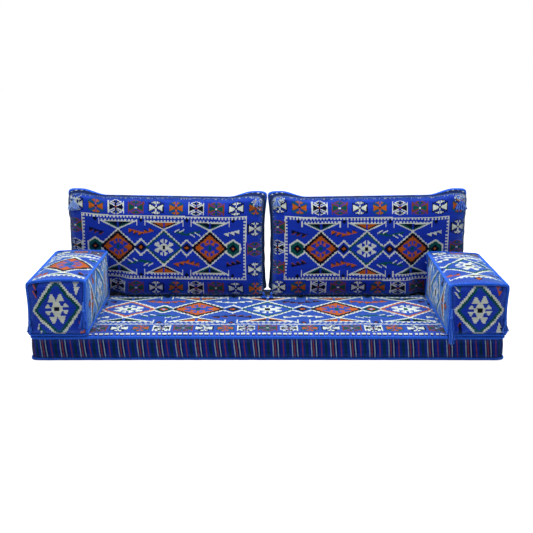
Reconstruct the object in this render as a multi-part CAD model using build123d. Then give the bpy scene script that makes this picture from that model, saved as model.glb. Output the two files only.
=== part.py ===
from build123d import *
import math
import os
from typing import NamedTuple

# A floor sofa of five loose box cushions: a seat mattress, two back cushions and two arm cushions.
# X runs along the sofa, Y from front to back, Z up, with the origin under the middle of the mattress.

# Values that every cushion shares
COVER = 3.0  # woven cover with its lining
PIPE_RADIUS = 5.5  # cord of the piping with its sleeve
PIPE_STAND = 1.2  # middle of the cord outside the seam line
PIPE_REACH = PIPE_STAND + PIPE_RADIUS
REST_GAP = 0.3  # between two cushions that lie on each other
FRONT_STEPS = 3  # rings over the crown of a front or top panel
REAR_STEPS = 2
FILLING_STEPS = 2
WALL_STEPS = 2
SIDE_CHORDS = 6  # straight runs along one drawn in side
CORNER_CHORDS = 3  # straight runs round one corner of a cover
ROD_SIDES = 8

# Seat mattress, sizes between seam lines
SEAT_LENGTH = 1889.0
SEAT_DEPTH = 689.0
SEAT_HEIGHT = 100.0
SEAT_LOW_SEAM = 7.0
SEAT_HIGH_SEAM = 94.0
SEAT_CORNER = 26.0
SEAT_SHOULDER = 60.0  # how far in from the seam the panels keep rising
SEAT_DRAWS = (5.0, 4.0, 0.0, 4.0)  # front, right end, rear, left end
SEAT_BULGES = (9.0, 8.0, 0.0, 8.0)

# Back cushions, sizes between the corners of the rear seam
BACK_WIDTH = 891.0
BACK_HEIGHT = 474.0
BACK_THICKNESS = 92.0  # rear seam to front seam
BACK_REAR_CROWN = 8.0
BACK_FRONT_CROWN = 24.0
BACK_REAR_SHOULDER = 55.0
BACK_FRONT_SHOULDER = 170.0
BACK_REAR_DRAWS = (5.0, 14.0, 33.0, 14.0)  # bottom, right side, top, left side
BACK_REAR_CORNER = 15.0
BACK_FRONT_INSET = 7.0
BACK_FRONT_DRAWS = (4.0, 9.0, 20.0, 9.0)
BACK_FRONT_CORNER = 40.0
BACK_FOOT = (BACK_REAR_DRAWS[0] + BACK_FRONT_DRAWS[0] + BACK_FRONT_INSET) / 2 + PIPE_REACH
BACK_BULGES = (BACK_FOOT, 7.0, 4.0, 7.0)
BACK_PAIR_GAP = 1.0

# Arm cushions, sizes between the long seam lines
ARM_WIDTH = 231.0
ARM_HEIGHT = 202.0
ARM_CROWN = 12.0
ARM_SHOULDER = 55.0
ARM_CORNER = 12.0
ARM_END_DRAWS = (0.0, 7.0, 3.0, 7.0)  # bottom, outer side, top, inner side
ARM_WALL_DRAWS = (-PIPE_REACH, 0.0, -9.0, -6.0)
ARM_END_RUN = 45.0  # from an end seam to where the walls have filled out
ARM_SETBACK = 4.5  # front seam behind the mattress's front seam
ARM_OVERHANG = 3.0  # beyond the end of the mattress
ARM_BACK_GAP = 2.0
ARM_SPLIT = 30.0  # reach of the cut between two walls, each way from the corner

# Zips
TAPE_WIDTH = 26.0
CHAIN_WIDTH = 6.0
CHAIN_HEIGHT = 2.0
STOP_LENGTH = 5.0
STOP_RISE = 1.0
SEAT_ZIP_INSET = 194.5  # from each end of the mattress
BACK_ZIP_LENGTH = 620.0
BACK_ZIP_HEIGHT = 85.0  # above the lower corners of the rear seam
ARM_ZIP_LENGTH = 380.0
ARM_ZIP_HEIGHT = 45.0

# Zip sliders and their pulls
SLIDER_LENGTH = 15.0
SLIDER_WIDTH = 12.0
SLIDER_TOP = 5.0
SLIDER_GAP = 0.4
SLIDER_ROUND = 3.0
EAR_LENGTH = 6.0
EAR_THICKNESS = 1.4
EAR_HEIGHT = 4.4
EAR_GAP = 3.2
PIN_RADIUS = 0.9
PIN_HEIGHT = 2.7  # above the slider's top
EYE_RADIUS = 2.1
EYE_GAP = 0.35
PULL_THICKNESS = 1.6
PULL_NECK = 2.4
PULL_NECK_LENGTH = 10.0
PULL_LENGTH = 34.0
PULL_WIDTH = 8.0
PULL_ROUND = 2.5

# Yarn tassels, each a cord, a bound head, a neck and a flared skirt
CORD_RADIUS = 2.6
HEAD_RADIUS = 10.0
NECK_RADIUS = 6.5
HEAD_LENGTH = 20.0
SKIRT_WIDTH = 34.0
SKIRT_THICKNESS = 17.0
FLAT_SHARE = 0.8  # thickness of a head over its width
CLIP_SHARE = 0.58  # corner cut over half the thickness
BACK_TASSEL_INSET = 40.0
BACK_TASSEL_DROP = 34.0
BACK_TASSEL_STAND = 3.0
BACK_CORD = 6.0
BACK_SKIRT = 42.0
FOOT_TASSEL_INSET = 32.0
FOOT_TASSEL_HEIGHT = 9.5
FOOT_SKIRT = 36.0
ARM_TASSEL_TOP = 122.0  # above the lower seam corners
ARM_TASSEL_STAND = 17.0  # in front of the front seam
ARM_TASSEL_INSET = 2.0
ARM_CORD = 44.0
ARM_SKIRT = 78.0
CORNER_TASSEL_TOP = 66.0
CORNER_CORD = 8.0
CORNER_SKIRT = 34.0
SEAT_CLEAR = 1.0  # between a hanging tassel and the mattress's front

OVERRUN = 50.0


class Ring(NamedTuple):
    """One level of a cushion: a four sided outline whose sides are drawn in."""

    level: float
    width: float
    height: float
    lift: float
    draws: tuple
    corner: float


def outline(ring, corner_chords):
    """The points of a ring. Each side is a shallow bow and each corner a quarter circle, both in chords."""
    x = ring.width / 2 - ring.corner
    y = ring.height / 2 - ring.corner
    points = []
    for turn, (along, out) in enumerate([(x, y), (y, x), (x, y), (y, x)]):
        side = [
            (along * share, -out - ring.corner + ring.draws[turn] * (1 - share * share))
            for share in (2 * step / SIDE_CHORDS - 1 for step in range(SIDE_CHORDS + 1))
        ]
        arc = [
            (along + ring.corner * math.sin(angle), -out - ring.corner * math.cos(angle))
            for angle in (math.pi / 2 * step / corner_chords for step in range(1, corner_chords))
        ]
        cosine, sine = [(1, 0), (0, 1), (-1, 0), (0, -1)][turn]
        points += [(cosine * u - sine * v, sine * u + cosine * v + ring.lift) for u, v in side + arc]
    return points


def section(ring, corner_chords=CORNER_CHORDS):
    """The ring as a face in its place."""
    return Pos(0, 0, ring.level) * make_face(Polyline(*outline(ring, corner_chords), close=True))


def inset(ring, inward, rise=0.0):
    """The same ring, smaller by inward on every side and moved along the cushion's axis by rise."""
    keep = 1 - 2 * inward / min(ring.width, ring.height)
    return ring._replace(
        level=ring.level + rise,
        width=ring.width - 2 * inward,
        height=ring.height - 2 * inward,
        draws=tuple(draw * keep for draw in ring.draws),
    )


def crown_rings(seam, crown, shoulder, steps):
    """Rings from a seam over the panel's crown: a quarter of an ellipse that ends in a flat."""
    rings = []
    for step in range(1, steps + 1):
        angle = math.pi / 2 * step / steps
        rings.append(inset(seam, shoulder * (1 - math.cos(angle)), crown * math.sin(angle)))
    return rings


def mix(first, last, share):
    """A value that goes from first to last as share goes from 0 to 1."""
    return first + (last - first) * share


def wall_rings(rear, front, bulges):
    """Rings of a boxing between two seams: its walls bulge most halfway across."""
    rings = []
    for step in range(1, WALL_STEPS):
        share = step / WALL_STEPS
        swell = math.sin(math.pi * share)
        draws = tuple(
            mix(a, b, share) - bulge * swell for a, b, bulge in zip(rear.draws, front.draws, bulges)
        )
        rings.append(
            Ring(
                mix(rear.level, front.level, share),
                mix(rear.width, front.width, share),
                mix(rear.height, front.height, share),
                mix(rear.lift, front.lift, share),
                draws,
                mix(rear.corner, front.corner, share),
            )
        )
    return rings


def form(rings, corner_chords=CORNER_CHORDS):
    """A closed solid through the rings."""
    return loft([section(ring, corner_chords) for ring in rings], ruled=True)


class Shells(NamedTuple):
    """A cushion's filling, its cover in three parts and the whole outer form."""

    core: Solid
    rear: Solid
    wall: Solid
    front: Solid
    outer: Solid


def shells(rear_seam, walls, front_seam, rear_crown, front_crown, rear_shoulder, front_shoulder):
    """The filling and cover of a box cushion. The axis runs from the rear panel to the front panel."""
    rear = crown_rings(rear_seam, -rear_crown, rear_shoulder, REAR_STEPS)[::-1]
    front = crown_rings(front_seam, front_crown, front_shoulder, FRONT_STEPS)
    middle = [rear_seam, *walls, front_seam]
    filling = [inset(ring, COVER) for ring in middle]
    filling_rear = crown_rings(filling[0], COVER - rear_crown, rear_shoulder, FILLING_STEPS)[::-1]
    filling_front = crown_rings(filling[-1], front_crown - COVER, front_shoulder, FILLING_STEPS)
    core = form([*filling_rear, *filling, *filling_front], 1)
    return Shells(
        core,
        form([*rear, rear_seam]) - core,
        form(middle) - core,
        form([front_seam, *front]) - core,
        form([*rear, *middle, *front]),
    )


def eight_sided(radius):
    """A regular section with that radius to its flats."""
    return RegularPolygon(radius, ROD_SIDES, major_radius=False, rotation=180 / ROD_SIDES)


def biggest(shape):
    """The largest solid that a cut leaves."""
    return shape.solids().sort_by(SortBy.VOLUME)[-1]


def cord_rings(seam, side):
    """Half of a piping cord's eight sided section: the outer half for side -1, the inner half for 1."""
    near = side * PIPE_RADIUS * math.tan(math.pi / ROD_SIDES) - PIPE_STAND
    far = side * PIPE_RADIUS - PIPE_STAND
    rise = PIPE_RADIUS * math.tan(math.pi / ROD_SIDES)
    levels = [(-PIPE_RADIUS, near), (-rise, far), (rise, far), (PIPE_RADIUS, near)]
    return [inset(seam, inward, level) for level, inward in levels]


def piping(seam, outer):
    """A cord along a seam, seated on the cover's edge."""
    return biggest(form(cord_rings(seam, -1)) - form(cord_rings(seam, 1)) - outer)


def tassel(cord, skirt, lean=0.0):
    """A tassel along its own Z: cord, head, neck and skirt. The cord's top stands behind it by lean."""
    head = cord + HEAD_LENGTH
    skirt_half = SKIRT_WIDTH / 2
    levels = [
        (0.0, CORD_RADIUS, CORD_RADIUS),
        (cord, CORD_RADIUS, CORD_RADIUS),
        (cord + HEAD_LENGTH / 4, HEAD_RADIUS, HEAD_RADIUS * FLAT_SHARE),
        (cord + HEAD_LENGTH / 2, HEAD_RADIUS, HEAD_RADIUS * FLAT_SHARE),
        (head, NECK_RADIUS, NECK_RADIUS * FLAT_SHARE),
        (head + skirt / 3, HEAD_RADIUS, HEAD_RADIUS * FLAT_SHARE),
        (head + skirt, skirt_half, SKIRT_THICKNESS / 2),
    ]
    rings = []
    for level, half_width, half_thickness in levels:
        corner = half_thickness * CLIP_SHARE
        back = lean if level == 0 else 0
        rings.append(Ring(level, 2 * half_width, 2 * half_thickness, -back, (0, 0, 0, 0), corner))
    return form(rings, 1)


def zip_frame(origin, along, out):
    """A frame on a cover: its X runs along the chain and its Z points out of the fabric."""
    return Plane(origin=origin, x_dir=along, z_dir=out).location


def fit_zip(panel, frame, length):
    """Cuts a slot in a panel and fills it with tape, chain and end stops."""
    slot = frame * Box(length, TAPE_WIDTH, 4 * COVER)
    tape = panel & slot
    low = (Align.CENTER, Align.CENTER, Align.MIN)
    chain = Box(length, CHAIN_WIDTH, CHAIN_HEIGHT, align=low)
    chain = chamfer(chain.edges().filter_by(Axis.X).group_by(Axis.Z)[-1], CHAIN_HEIGHT / 3)
    stop = Box(STOP_LENGTH, CHAIN_WIDTH, CHAIN_HEIGHT + STOP_RISE, align=low)
    reach = (length - STOP_LENGTH) / 2
    strip = chain + Pos(reach, 0, 0) * stop + Pos(-reach, 0, 0) * stop
    return panel - slot, tape + frame * strip


def slider_place(length):
    """Where the slider stands along its chain when the zip is closed, from the chain's middle."""
    return -length / 2 + STOP_LENGTH + SLIDER_GAP + SLIDER_LENGTH / 2


def rod(radius, length):
    """A short eight sided rod about Z."""
    return extrude(eight_sided(radius), length / 2, both=True)


def zip_slider():
    """A slider that straddles the chain, with two ears and a crossbar for the pull."""
    low = (Align.CENTER, Align.CENTER, Align.MIN)
    body = Pos(0, 0, SLIDER_GAP) * Box(SLIDER_LENGTH, SLIDER_WIDTH, SLIDER_TOP - SLIDER_GAP, align=low)
    body = chamfer(body.edges().filter_by(Axis.Z), SLIDER_ROUND)
    channel = Box(2 * SLIDER_LENGTH, CHAIN_WIDTH + 2 * SLIDER_GAP, 2 * (CHAIN_HEIGHT + SLIDER_GAP))
    body -= channel
    ear = Box(EAR_LENGTH, EAR_THICKNESS, EAR_HEIGHT, align=low)
    ear = chamfer(ear.edges().filter_by(Axis.Y).group_by(Axis.Z)[-1], EAR_LENGTH / 4)
    reach = (EAR_GAP + EAR_THICKNESS) / 2
    pin = Pos(0, 0, PIN_HEIGHT) * Rot(90, 0, 0) * rod(PIN_RADIUS, EAR_GAP)
    for side in (-reach, reach):
        body += Pos(0, side, SLIDER_TOP) * ear
    return body + Pos(0, 0, SLIDER_TOP) * pin


def zip_pull():
    """The pull: an eye round the crossbar, a neck between the ears and a rounded tab."""
    eye = Rot(90, 0, 0) * rod(EYE_RADIUS, PULL_NECK)
    neck = Pos(PULL_NECK_LENGTH / 2, 0, 0) * Box(PULL_NECK_LENGTH, PULL_NECK, PULL_THICKNESS)
    tab_length = PULL_LENGTH - PULL_NECK_LENGTH
    tab = Box(tab_length, PULL_WIDTH, PULL_THICKNESS)
    tab = chamfer(tab.edges().filter_by(Axis.Z), PULL_ROUND)
    pull = eye + neck + Pos(PULL_NECK_LENGTH + tab_length / 2, 0, 0) * tab
    hole = Rot(90, 0, 0) * rod(PIN_RADIUS + EYE_GAP, 2 * PULL_WIDTH)
    return Pos(0, 0, SLIDER_TOP + PIN_HEIGHT) * (pull - hole)


def zip_hardware(name, frame, length):
    """The slider and the pull of one zip, at its closed end."""
    place = frame * Pos(slider_place(length), 0, 0)
    return {f"{name}_zip_slider": place * zip_slider(), f"{name}_zip_pull": place * zip_pull()}


def seat():
    """The mattress, lying flat, with its zip along the rear wall."""
    low = Ring(SEAT_LOW_SEAM, SEAT_LENGTH, SEAT_DEPTH, 0, SEAT_DRAWS, SEAT_CORNER)
    high = low._replace(level=SEAT_HIGH_SEAM)
    made = shells(
        low,
        wall_rings(low, high, SEAT_BULGES),
        high,
        SEAT_LOW_SEAM,
        SEAT_HEIGHT - SEAT_HIGH_SEAM,
        SEAT_SHOULDER,
        SEAT_SHOULDER,
    )
    middle = mix(SEAT_LOW_SEAM, SEAT_HIGH_SEAM, 0.5)
    frame = zip_frame((0, SEAT_DEPTH / 2, middle), (1, 0, 0), (0, 1, 0))
    zip_length = SEAT_LENGTH - 2 * SEAT_ZIP_INSET
    boxing, closure = fit_zip(made.wall, frame, zip_length)
    return {
        "seat_core": made.core,
        "seat_base_panel": made.rear,
        "seat_boxing": boxing,
        "seat_top_panel": made.front,
        "seat_piping_bottom": piping(low, made.outer),
        "seat_piping_top": piping(high, made.outer),
        "seat_zip": closure,
        **zip_hardware("seat", frame, zip_length),
    }


def back_cushion():
    """The right back cushion, standing on the rear of the mattress, ears up."""
    rear = Ring(0, BACK_WIDTH, BACK_HEIGHT, 0, BACK_REAR_DRAWS, BACK_REAR_CORNER)
    front = inset(rear, BACK_FRONT_INSET, BACK_THICKNESS)
    front = front._replace(draws=BACK_FRONT_DRAWS, corner=BACK_FRONT_CORNER)
    made = shells(
        rear,
        wall_rings(rear, front, BACK_BULGES),
        front,
        BACK_REAR_CROWN,
        BACK_FRONT_CROWN,
        BACK_REAR_SHOULDER,
        BACK_FRONT_SHOULDER,
    )
    across = BACK_PAIR_GAP / 2 + BACK_WIDTH / 2 + PIPE_REACH
    behind = SEAT_DEPTH / 2 + PIPE_REACH - BACK_REAR_CROWN
    above = SEAT_HEIGHT + REST_GAP + PIPE_REACH + BACK_HEIGHT / 2
    place = Pos(across, behind, above) * Rot(90, 0, 0)
    zip_height = BACK_ZIP_HEIGHT - BACK_HEIGHT / 2
    frame = zip_frame((0, zip_height, -BACK_REAR_CROWN), (1, 0, 0), (0, 0, -1))
    rear_panel, closure = fit_zip(made.rear, frame, BACK_ZIP_LENGTH)
    stand = BACK_THICKNESS + BACK_TASSEL_STAND + SKIRT_THICKNESS / 2
    reach = BACK_WIDTH / 2 - BACK_TASSEL_INSET
    top = BACK_HEIGHT / 2 - BACK_TASSEL_DROP
    hang = Plane(origin=(0, 0, 0), x_dir=(1, 0, 0), z_dir=(0, -1, 0)).location
    tassels = [Pos(side * reach, top, stand) * hang * tassel(BACK_CORD, BACK_SKIRT) for side in (-1, 1)]
    foot = Pos(-BACK_WIDTH / 2 + FOOT_TASSEL_INSET, FOOT_TASSEL_HEIGHT - BACK_HEIGHT / 2, BACK_THICKNESS)
    tassels.append(foot * tassel(BACK_CORD, FOOT_SKIRT))
    trimmed = [biggest(each - made.outer) for each in tassels]
    local = {
        "core": made.core,
        "rear_panel": rear_panel,
        "boxing": made.wall,
        "front_panel": made.front,
        "piping": piping(rear, made.outer),
        "tassels": Compound(children=trimmed),
        "zip": closure,
        **{key[1:]: shape for key, shape in zip_hardware("", frame, BACK_ZIP_LENGTH).items()},
    }
    return {name: place * shape for name, shape in local.items()}


def arm_places():
    """Where the arm's front and rear seams lie along Y."""
    front = -SEAT_DEPTH / 2 + ARM_SETBACK
    back_front = SEAT_DEPTH / 2 + PIPE_REACH - BACK_REAR_CROWN - BACK_THICKNESS - BACK_FRONT_CROWN
    return front, back_front - ARM_BACK_GAP - ARM_CROWN


def wedge(turn, reach, length):
    """The space outside one wall of a four sided sleeve, cut on the diagonals through its corners."""
    x, y = reach
    d = ARM_SPLIT
    base = Polyline((-x + d, y - d), (x - d, y - d), (x + d, y + d), (-x - d, y + d), close=True)
    return Pos(0, 0, -OVERRUN) * extrude(Rot(0, 0, turn) * make_face(base), length + 2 * OVERRUN)


def arm_cushion():
    """The right arm cushion, lying along the end of the mattress."""
    front_y, rear_y = arm_places()
    length = rear_y - front_y
    rear = Ring(0, ARM_WIDTH, ARM_HEIGHT, 0, ARM_END_DRAWS, ARM_CORNER)
    front = rear._replace(level=length)
    walls = [
        rear._replace(level=ARM_END_RUN, draws=ARM_WALL_DRAWS),
        rear._replace(level=length - ARM_END_RUN, draws=ARM_WALL_DRAWS),
    ]
    made = shells(rear, walls, front, ARM_CROWN, ARM_CROWN, ARM_SHOULDER, ARM_SHOULDER)
    flat = (ARM_WIDTH / 2, ARM_HEIGHT / 2)
    upright = (ARM_HEIGHT / 2, ARM_WIDTH / 2)
    bottom = made.wall & wedge(180, flat, length)
    outer_side = made.wall & wedge(-90, upright, length)
    top = made.wall & wedge(0, flat, length)
    inner_side = made.wall & wedge(90, upright, length)
    zip_origin = (ARM_WIDTH / 2, ARM_ZIP_HEIGHT - ARM_HEIGHT / 2, length / 2)
    frame = zip_frame(zip_origin, (0, 0, 1), (1, 0, 0))
    outer_side, closure = fit_zip(outer_side, frame, ARM_ZIP_LENGTH)
    rings = [piping(rear, made.outer), piping(front, made.outer)]
    edge = ARM_CORNER * (1 - math.sqrt(0.5)) - PIPE_STAND * math.sqrt(0.5)
    cords = []
    for x_side in (-1, 1):
        for y_side in (-1, 1):
            x = x_side * (ARM_WIDTH / 2 - edge)
            y = y_side * (ARM_HEIGHT / 2 - edge)
            cord = Pos(x, y, 0) * extrude(eight_sided(PIPE_RADIUS), length) - made.outer
            for ring in rings:
                cord = cord - ring
            cords.append(biggest(cord))
    across = SEAT_LENGTH / 2 + ARM_OVERHANG - ARM_WIDTH / 2
    above = SEAT_HEIGHT + REST_GAP + PIPE_REACH + ARM_HEIGHT / 2
    place = Pos(across, rear_y, above) * Rot(90, 0, 0)
    hang = Plane(origin=(0, 0, 0), x_dir=(1, 0, 0), z_dir=(0, -1, 0)).location
    stand = length + ARM_TASSEL_STAND
    inner = Pos(ARM_TASSEL_INSET - ARM_WIDTH / 2, ARM_TASSEL_TOP - ARM_HEIGHT / 2, stand)
    outer = Pos(ARM_WIDTH / 2, CORNER_TASSEL_TOP - ARM_HEIGHT / 2, stand)
    lean = ARM_TASSEL_STAND - PIPE_STAND
    tassels = [
        inner * hang * tassel(ARM_CORD, ARM_SKIRT, lean),
        outer * hang * tassel(CORNER_CORD, CORNER_SKIRT, lean),
    ]
    clear = ARM_SETBACK + PIPE_REACH + SEAT_CLEAR
    step = Pos(0, -ARM_HEIGHT / 2 - PIPE_REACH, length + clear)
    align = (Align.CENTER, Align.MAX, Align.MAX)
    seat_space = step * Box(2 * ARM_WIDTH, 2 * SEAT_HEIGHT, 2 * SEAT_HEIGHT, align=align)
    trimmed = [biggest(each - made.outer - rings[1] - seat_space) for each in tassels]
    local = {
        "core": made.core,
        "rear_panel": made.rear,
        "front_panel": made.front,
        "top_panel": top,
        "bottom_panel": bottom,
        "inner_side_panel": inner_side,
        "outer_side_panel": outer_side,
        "end_piping": Compound(children=rings),
        "edge_piping": Compound(children=cords),
        "tassels": Compound(children=trimmed),
        "zip": closure,
        **{key[1:]: shape for key, shape in zip_hardware("", frame, ARM_ZIP_LENGTH).items()},
    }
    return {name: place * shape for name, shape in local.items()}


def both_sides(name, made):
    """A cushion on the right and its mirror image on the left."""
    nodes = {}
    for key, shape in made.items():
        nodes[f"right_{name}_{key}"] = shape
        nodes[f"left_{name}_{key}"] = mirror(shape, about=Plane.YZ)
    return nodes


def main():
    """Writes one file for each node."""
    nodes = {**seat(), **both_sides("back", back_cushion()), **both_sides("arm", arm_cushion())}
    os.makedirs("parts", exist_ok=True)
    for name, shape in nodes.items():
        export_step(shape, f"parts/{name}.step")


main()
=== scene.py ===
import math
from typing import NamedTuple

import bpy
import numpy as np
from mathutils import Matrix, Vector
from mathutils.bvhtree import BVHTree


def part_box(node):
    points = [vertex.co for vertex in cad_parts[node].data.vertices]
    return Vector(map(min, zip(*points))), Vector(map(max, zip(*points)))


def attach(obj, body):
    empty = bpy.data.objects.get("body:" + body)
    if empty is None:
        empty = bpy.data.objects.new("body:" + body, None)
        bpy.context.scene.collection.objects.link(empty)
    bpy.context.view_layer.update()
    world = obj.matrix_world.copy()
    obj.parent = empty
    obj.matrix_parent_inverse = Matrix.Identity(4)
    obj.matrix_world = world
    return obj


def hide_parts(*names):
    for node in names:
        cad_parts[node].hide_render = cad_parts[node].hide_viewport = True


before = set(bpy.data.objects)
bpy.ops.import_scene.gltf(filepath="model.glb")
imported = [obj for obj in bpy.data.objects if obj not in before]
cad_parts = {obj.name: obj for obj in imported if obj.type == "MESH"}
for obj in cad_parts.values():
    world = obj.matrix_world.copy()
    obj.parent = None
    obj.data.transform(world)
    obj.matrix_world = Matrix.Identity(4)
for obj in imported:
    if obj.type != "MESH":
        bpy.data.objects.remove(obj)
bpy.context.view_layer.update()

MM = 0.001
TURN = 2 * math.pi

# Camera, worked out from the photograph
IMAGE_SIZE = 533  # pixels a side
FOCAL_PIXELS = 971.1
SENSOR = 36.0
CAMERA_PLACE = (-0.0043, -4.013, 1.3305)
CAMERA_TILT = math.radians(14.41)  # below level

# Yarns, as places in the palette
GROUND, WHITE, ORANGE, GREEN, BLACK, RED, SKY, NAVY = range(8)
PALETTE = {
    GROUND: (18, 42, 156),
    WHITE: (214, 216, 200),
    ORANGE: (182, 86, 10),
    GREEN: (12, 76, 68),
    BLACK: (8, 9, 20),
    RED: (124, 58, 20),
    SKY: (120, 168, 240),
    NAVY: (14, 22, 84),
}
PIPING_BLUE = (36, 88, 220)
TASSEL_SHADES = [(0.0, (12, 26, 96)), (0.3, (40, 88, 224)), (0.5, (96, 150, 252)), (1.0, (186, 208, 240))]
BACKING_BLUE = (24, 44, 128)
TAPE_BLUE = (18, 30, 84)
THREAD_BLUE = (60, 84, 150)
METAL_BLUE = (40, 46, 70)

# Covers and piping, in metres
PIPE_RADIUS = 5.5 * MM
PIPE_STAND = 1.2 * MM
PIPE_REACH = PIPE_RADIUS + PIPE_STAND
PIPE_SIDES = 10
REST_GAP = 0.3 * MM
SIDES = {"right": 1, "left": -1}  # and the sign of their places
SPLITS = 4  # cells of the final mesh along one cell of the simulated one
SWELL_CAP = 9 * MM
SLUMP_END = 0.705  # from the middle, where the arm cushions hold the back cushions
SLUMP_FADE = 90 * MM
EAR_START, EAR_END = 0.62, 0.88  # along half a back cushion's upper edge

# Panels of a box cushion, as numbered in its mesh
REAR, FRONT, BOTTOM, RIGHT, TOP, LEFT = range(6)
WALLS = (BOTTOM, RIGHT, TOP, LEFT)

random = np.random.default_rng(11)
materials = {}


class Seam(NamedTuple):
    """A four sided seam whose sides are drawn in between its corners."""

    width: float
    height: float
    draws: tuple  # bottom, right, top, left
    corner: float


class Form(NamedTuple):
    """A box cushion. Its axis runs from the rear panel to the front panel."""

    name: str
    origin: tuple  # middle of the rear seam
    axes: tuple  # unit vectors across, up and along the axis
    rear: Seam
    front: Seam
    depth: float
    bulges: tuple
    crowns: tuple  # rear, front
    shoulders: tuple
    bows: tuple  # how flat each drawn in side is, 2 for a plain bow
    cells: tuple  # of the simulated mesh, across, up and along
    slump: float = 0.0  # how far the foot of the front panel sags forward
    ear: float = 0.0  # how much of its upper draw the seam regains towards its corners
    rise: tuple = ((0, 0), (0, 0))  # of the upper edge's left and right end, at the rear and the front


def srgb(colour):
    """A colour as it is seen, in the renderer's own linear light."""
    parts = np.array(colour) / 255
    linear = np.where(parts <= 0.04045, parts / 12.92, ((parts + 0.055) / 1.055) ** 2.4)
    return (*linear.tolist(), 1.0)


def mix(first, last, share):
    """A value that goes from first to last as share goes from 0 to 1."""
    return first + (last - first) * share


WAVES = 7


def ripple(points, wavelength, seed):
    """A smooth random height about 0 for each point, from a few crossed sine waves."""
    rng = np.random.default_rng(seed)
    height = np.zeros(len(points))
    for _ in range(WAVES):
        direction = rng.normal(size=points.shape[1])
        direction /= np.linalg.norm(direction)
        turns = rng.uniform(0.6, 1.5) / wavelength
        height += np.sin(TURN * (points @ direction * turns + rng.uniform()))
    return height / WAVES


# Woven patterns

class Chart:
    """A woven panel as a grid of cells, each of one yarn."""

    def __init__(self, width, height, cells):
        self.size = np.array([width, height])
        self.cells = cells
        across = ((np.arange(cells[0]) + 0.5) / cells[0] - 0.5) * width / MM
        up = ((np.arange(cells[1]) + 0.5) / cells[1] - 0.5) * height / MM
        self.flat = np.meshgrid(across, up)
        self.yarn = np.full(self.flat[0].shape, GROUND)
        self.lines = (15, 16, 21)  # from a diamond's edge: white, then coloured or, round orange, black
        self.rescale(1, 1)

    def rescale(self, across, up, shift=(0, 0), turn=0):
        """From here, places are millimetres of a pattern woven at this scale, off the middle and turned."""
        self.scale = (across, up)
        x, y = self.flat[0] - shift[0], self.flat[1] - shift[1]
        sine, cosine = math.sin(math.radians(turn)), math.cos(math.radians(turn))
        self.x, self.y = (x * cosine + y * sine) / across, (y * cosine - x * sine) / up

    def half(self):
        """Half the panel's width and height at the pattern's scale."""
        return self.size / 2 / MM / self.scale

    def paint(self, mask, yarn):
        """Weaves one yarn into the cells of a mask."""
        self.yarn[mask] = yarn

    def around(self, x, y):
        """Each cell's distance across and up from a place, without sign."""
        return np.abs(self.x - x), np.abs(self.y - y)

    def at(self, places):
        """The yarn at each place, in metres from the panel's middle."""
        cell = np.floor((places / self.size + 0.5) * self.cells).astype(int)
        column, row = np.clip(cell, 0, np.array(self.cells) - 1).T
        return self.yarn[row, column]


def lozenge(a, b, half_width, half_height):
    """Cells inside an upright lozenge."""
    return a / half_width + b / half_height < 1


STEP = 8  # height of one step of a slanting edge
WHOLE = 999  # further than any panel reaches


def stepped(b):
    """A height in whole steps, as a slanting edge is woven."""
    return np.floor(b / STEP) * STEP + STEP / 2


def polygon(x, y, corners):
    """Cells inside a polygon."""
    inside = np.zeros(x.shape, bool)
    for (x0, y0), (x1, y1) in zip(corners, corners[1:] + corners[:1]):
        if y0 != y1:
            crossing = x < x0 + (y - y0) / (y1 - y0) * (x1 - x0)
            inside ^= crossing & ((y > y0) != (y > y1))
    return inside


def toothed(along, pitch, share=0.5):
    """A share of every pitch along a line."""
    return np.mod(along, pitch) < pitch * share


BODY = [(0, 31), (13, 31), (19, 20), (25, 10), (30, 9), (30, 0), (0, 0)]
TALL_PETAL = [(0, 33), (17, 61), (28, 61), (43, 32), (14, 30), (0, 28)]
WIDE_PETAL = [(27, 5), (63, 5.5), (53, 20), (48, 24), (43, 24), (38, 18), (33, 10), (27, 9)]
TURNED_SCALE = (1.07, 0.98)
DIAMOND_KINDS = {
    "orange": (BLACK, ORANGE, GROUND, GREEN),
    "outlined": (ORANGE, GROUND, WHITE, GREEN),
    "green": (GREEN, GROUND, WHITE, BLACK),
}  # line, inside, petals and heart


def hooked(chart, x, y, yarn, heart, turned):
    """A medallion of eight hooked petals round an oblong heart, lying across or, turned, upright."""
    a, b = chart.around(x, y)
    if turned:
        a, b = b * TURNED_SCALE[0], a * TURNED_SCALE[1]
    for shape in (BODY, TALL_PETAL, WIDE_PETAL):
        chart.paint(polygon(a, b, shape), yarn)
    chart.paint((a < 15) & (b < 9), heart)


def diamond(chart, x, y, kind, turned, half, cut=WHOLE):
    """The inside of one large diamond: a coloured line and a medallion. Beyond cut its ends are missing."""
    line, inside, petals, heart = DIAMOND_KINDS[kind]
    a, b = chart.around(x, y)
    white, coloured, black = chart.lines
    inner = white + (black if kind == "orange" else coloured)
    steps = stepped(b)
    chart.paint(lozenge(a, steps, half[0] - white, half[1] - white) & (b < cut - 7), line)
    chart.paint(lozenge(a, steps, half[0] - inner, half[1] - inner) & (b < cut - 16), inside)
    hooked(chart, x, y, petals, heart, turned)


def outline(chart, x, y, half, cut=WHOLE):
    """A white lozenge, for what is woven over it."""
    a, b = chart.around(x, y)
    chart.paint(lozenge(a, stepped(b), *half) & (b < cut), WHITE)


JOINT_RINGS = {
    "green": [(43, 46, GREEN), (31, 33, BLACK), (18, 19, ORANGE), (6, 6, SKY)],
    "black": [(33, 32, BLACK), (14, 12, ORANGE)],
}


def rings(chart, x, y, sizes):
    """Upright lozenges inside each other, each of its own yarn."""
    a, b = chart.around(x, y)
    for half_width, half_height, yarn in sizes:
        chart.paint(lozenge(a, b, half_width, half_height), yarn)


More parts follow.
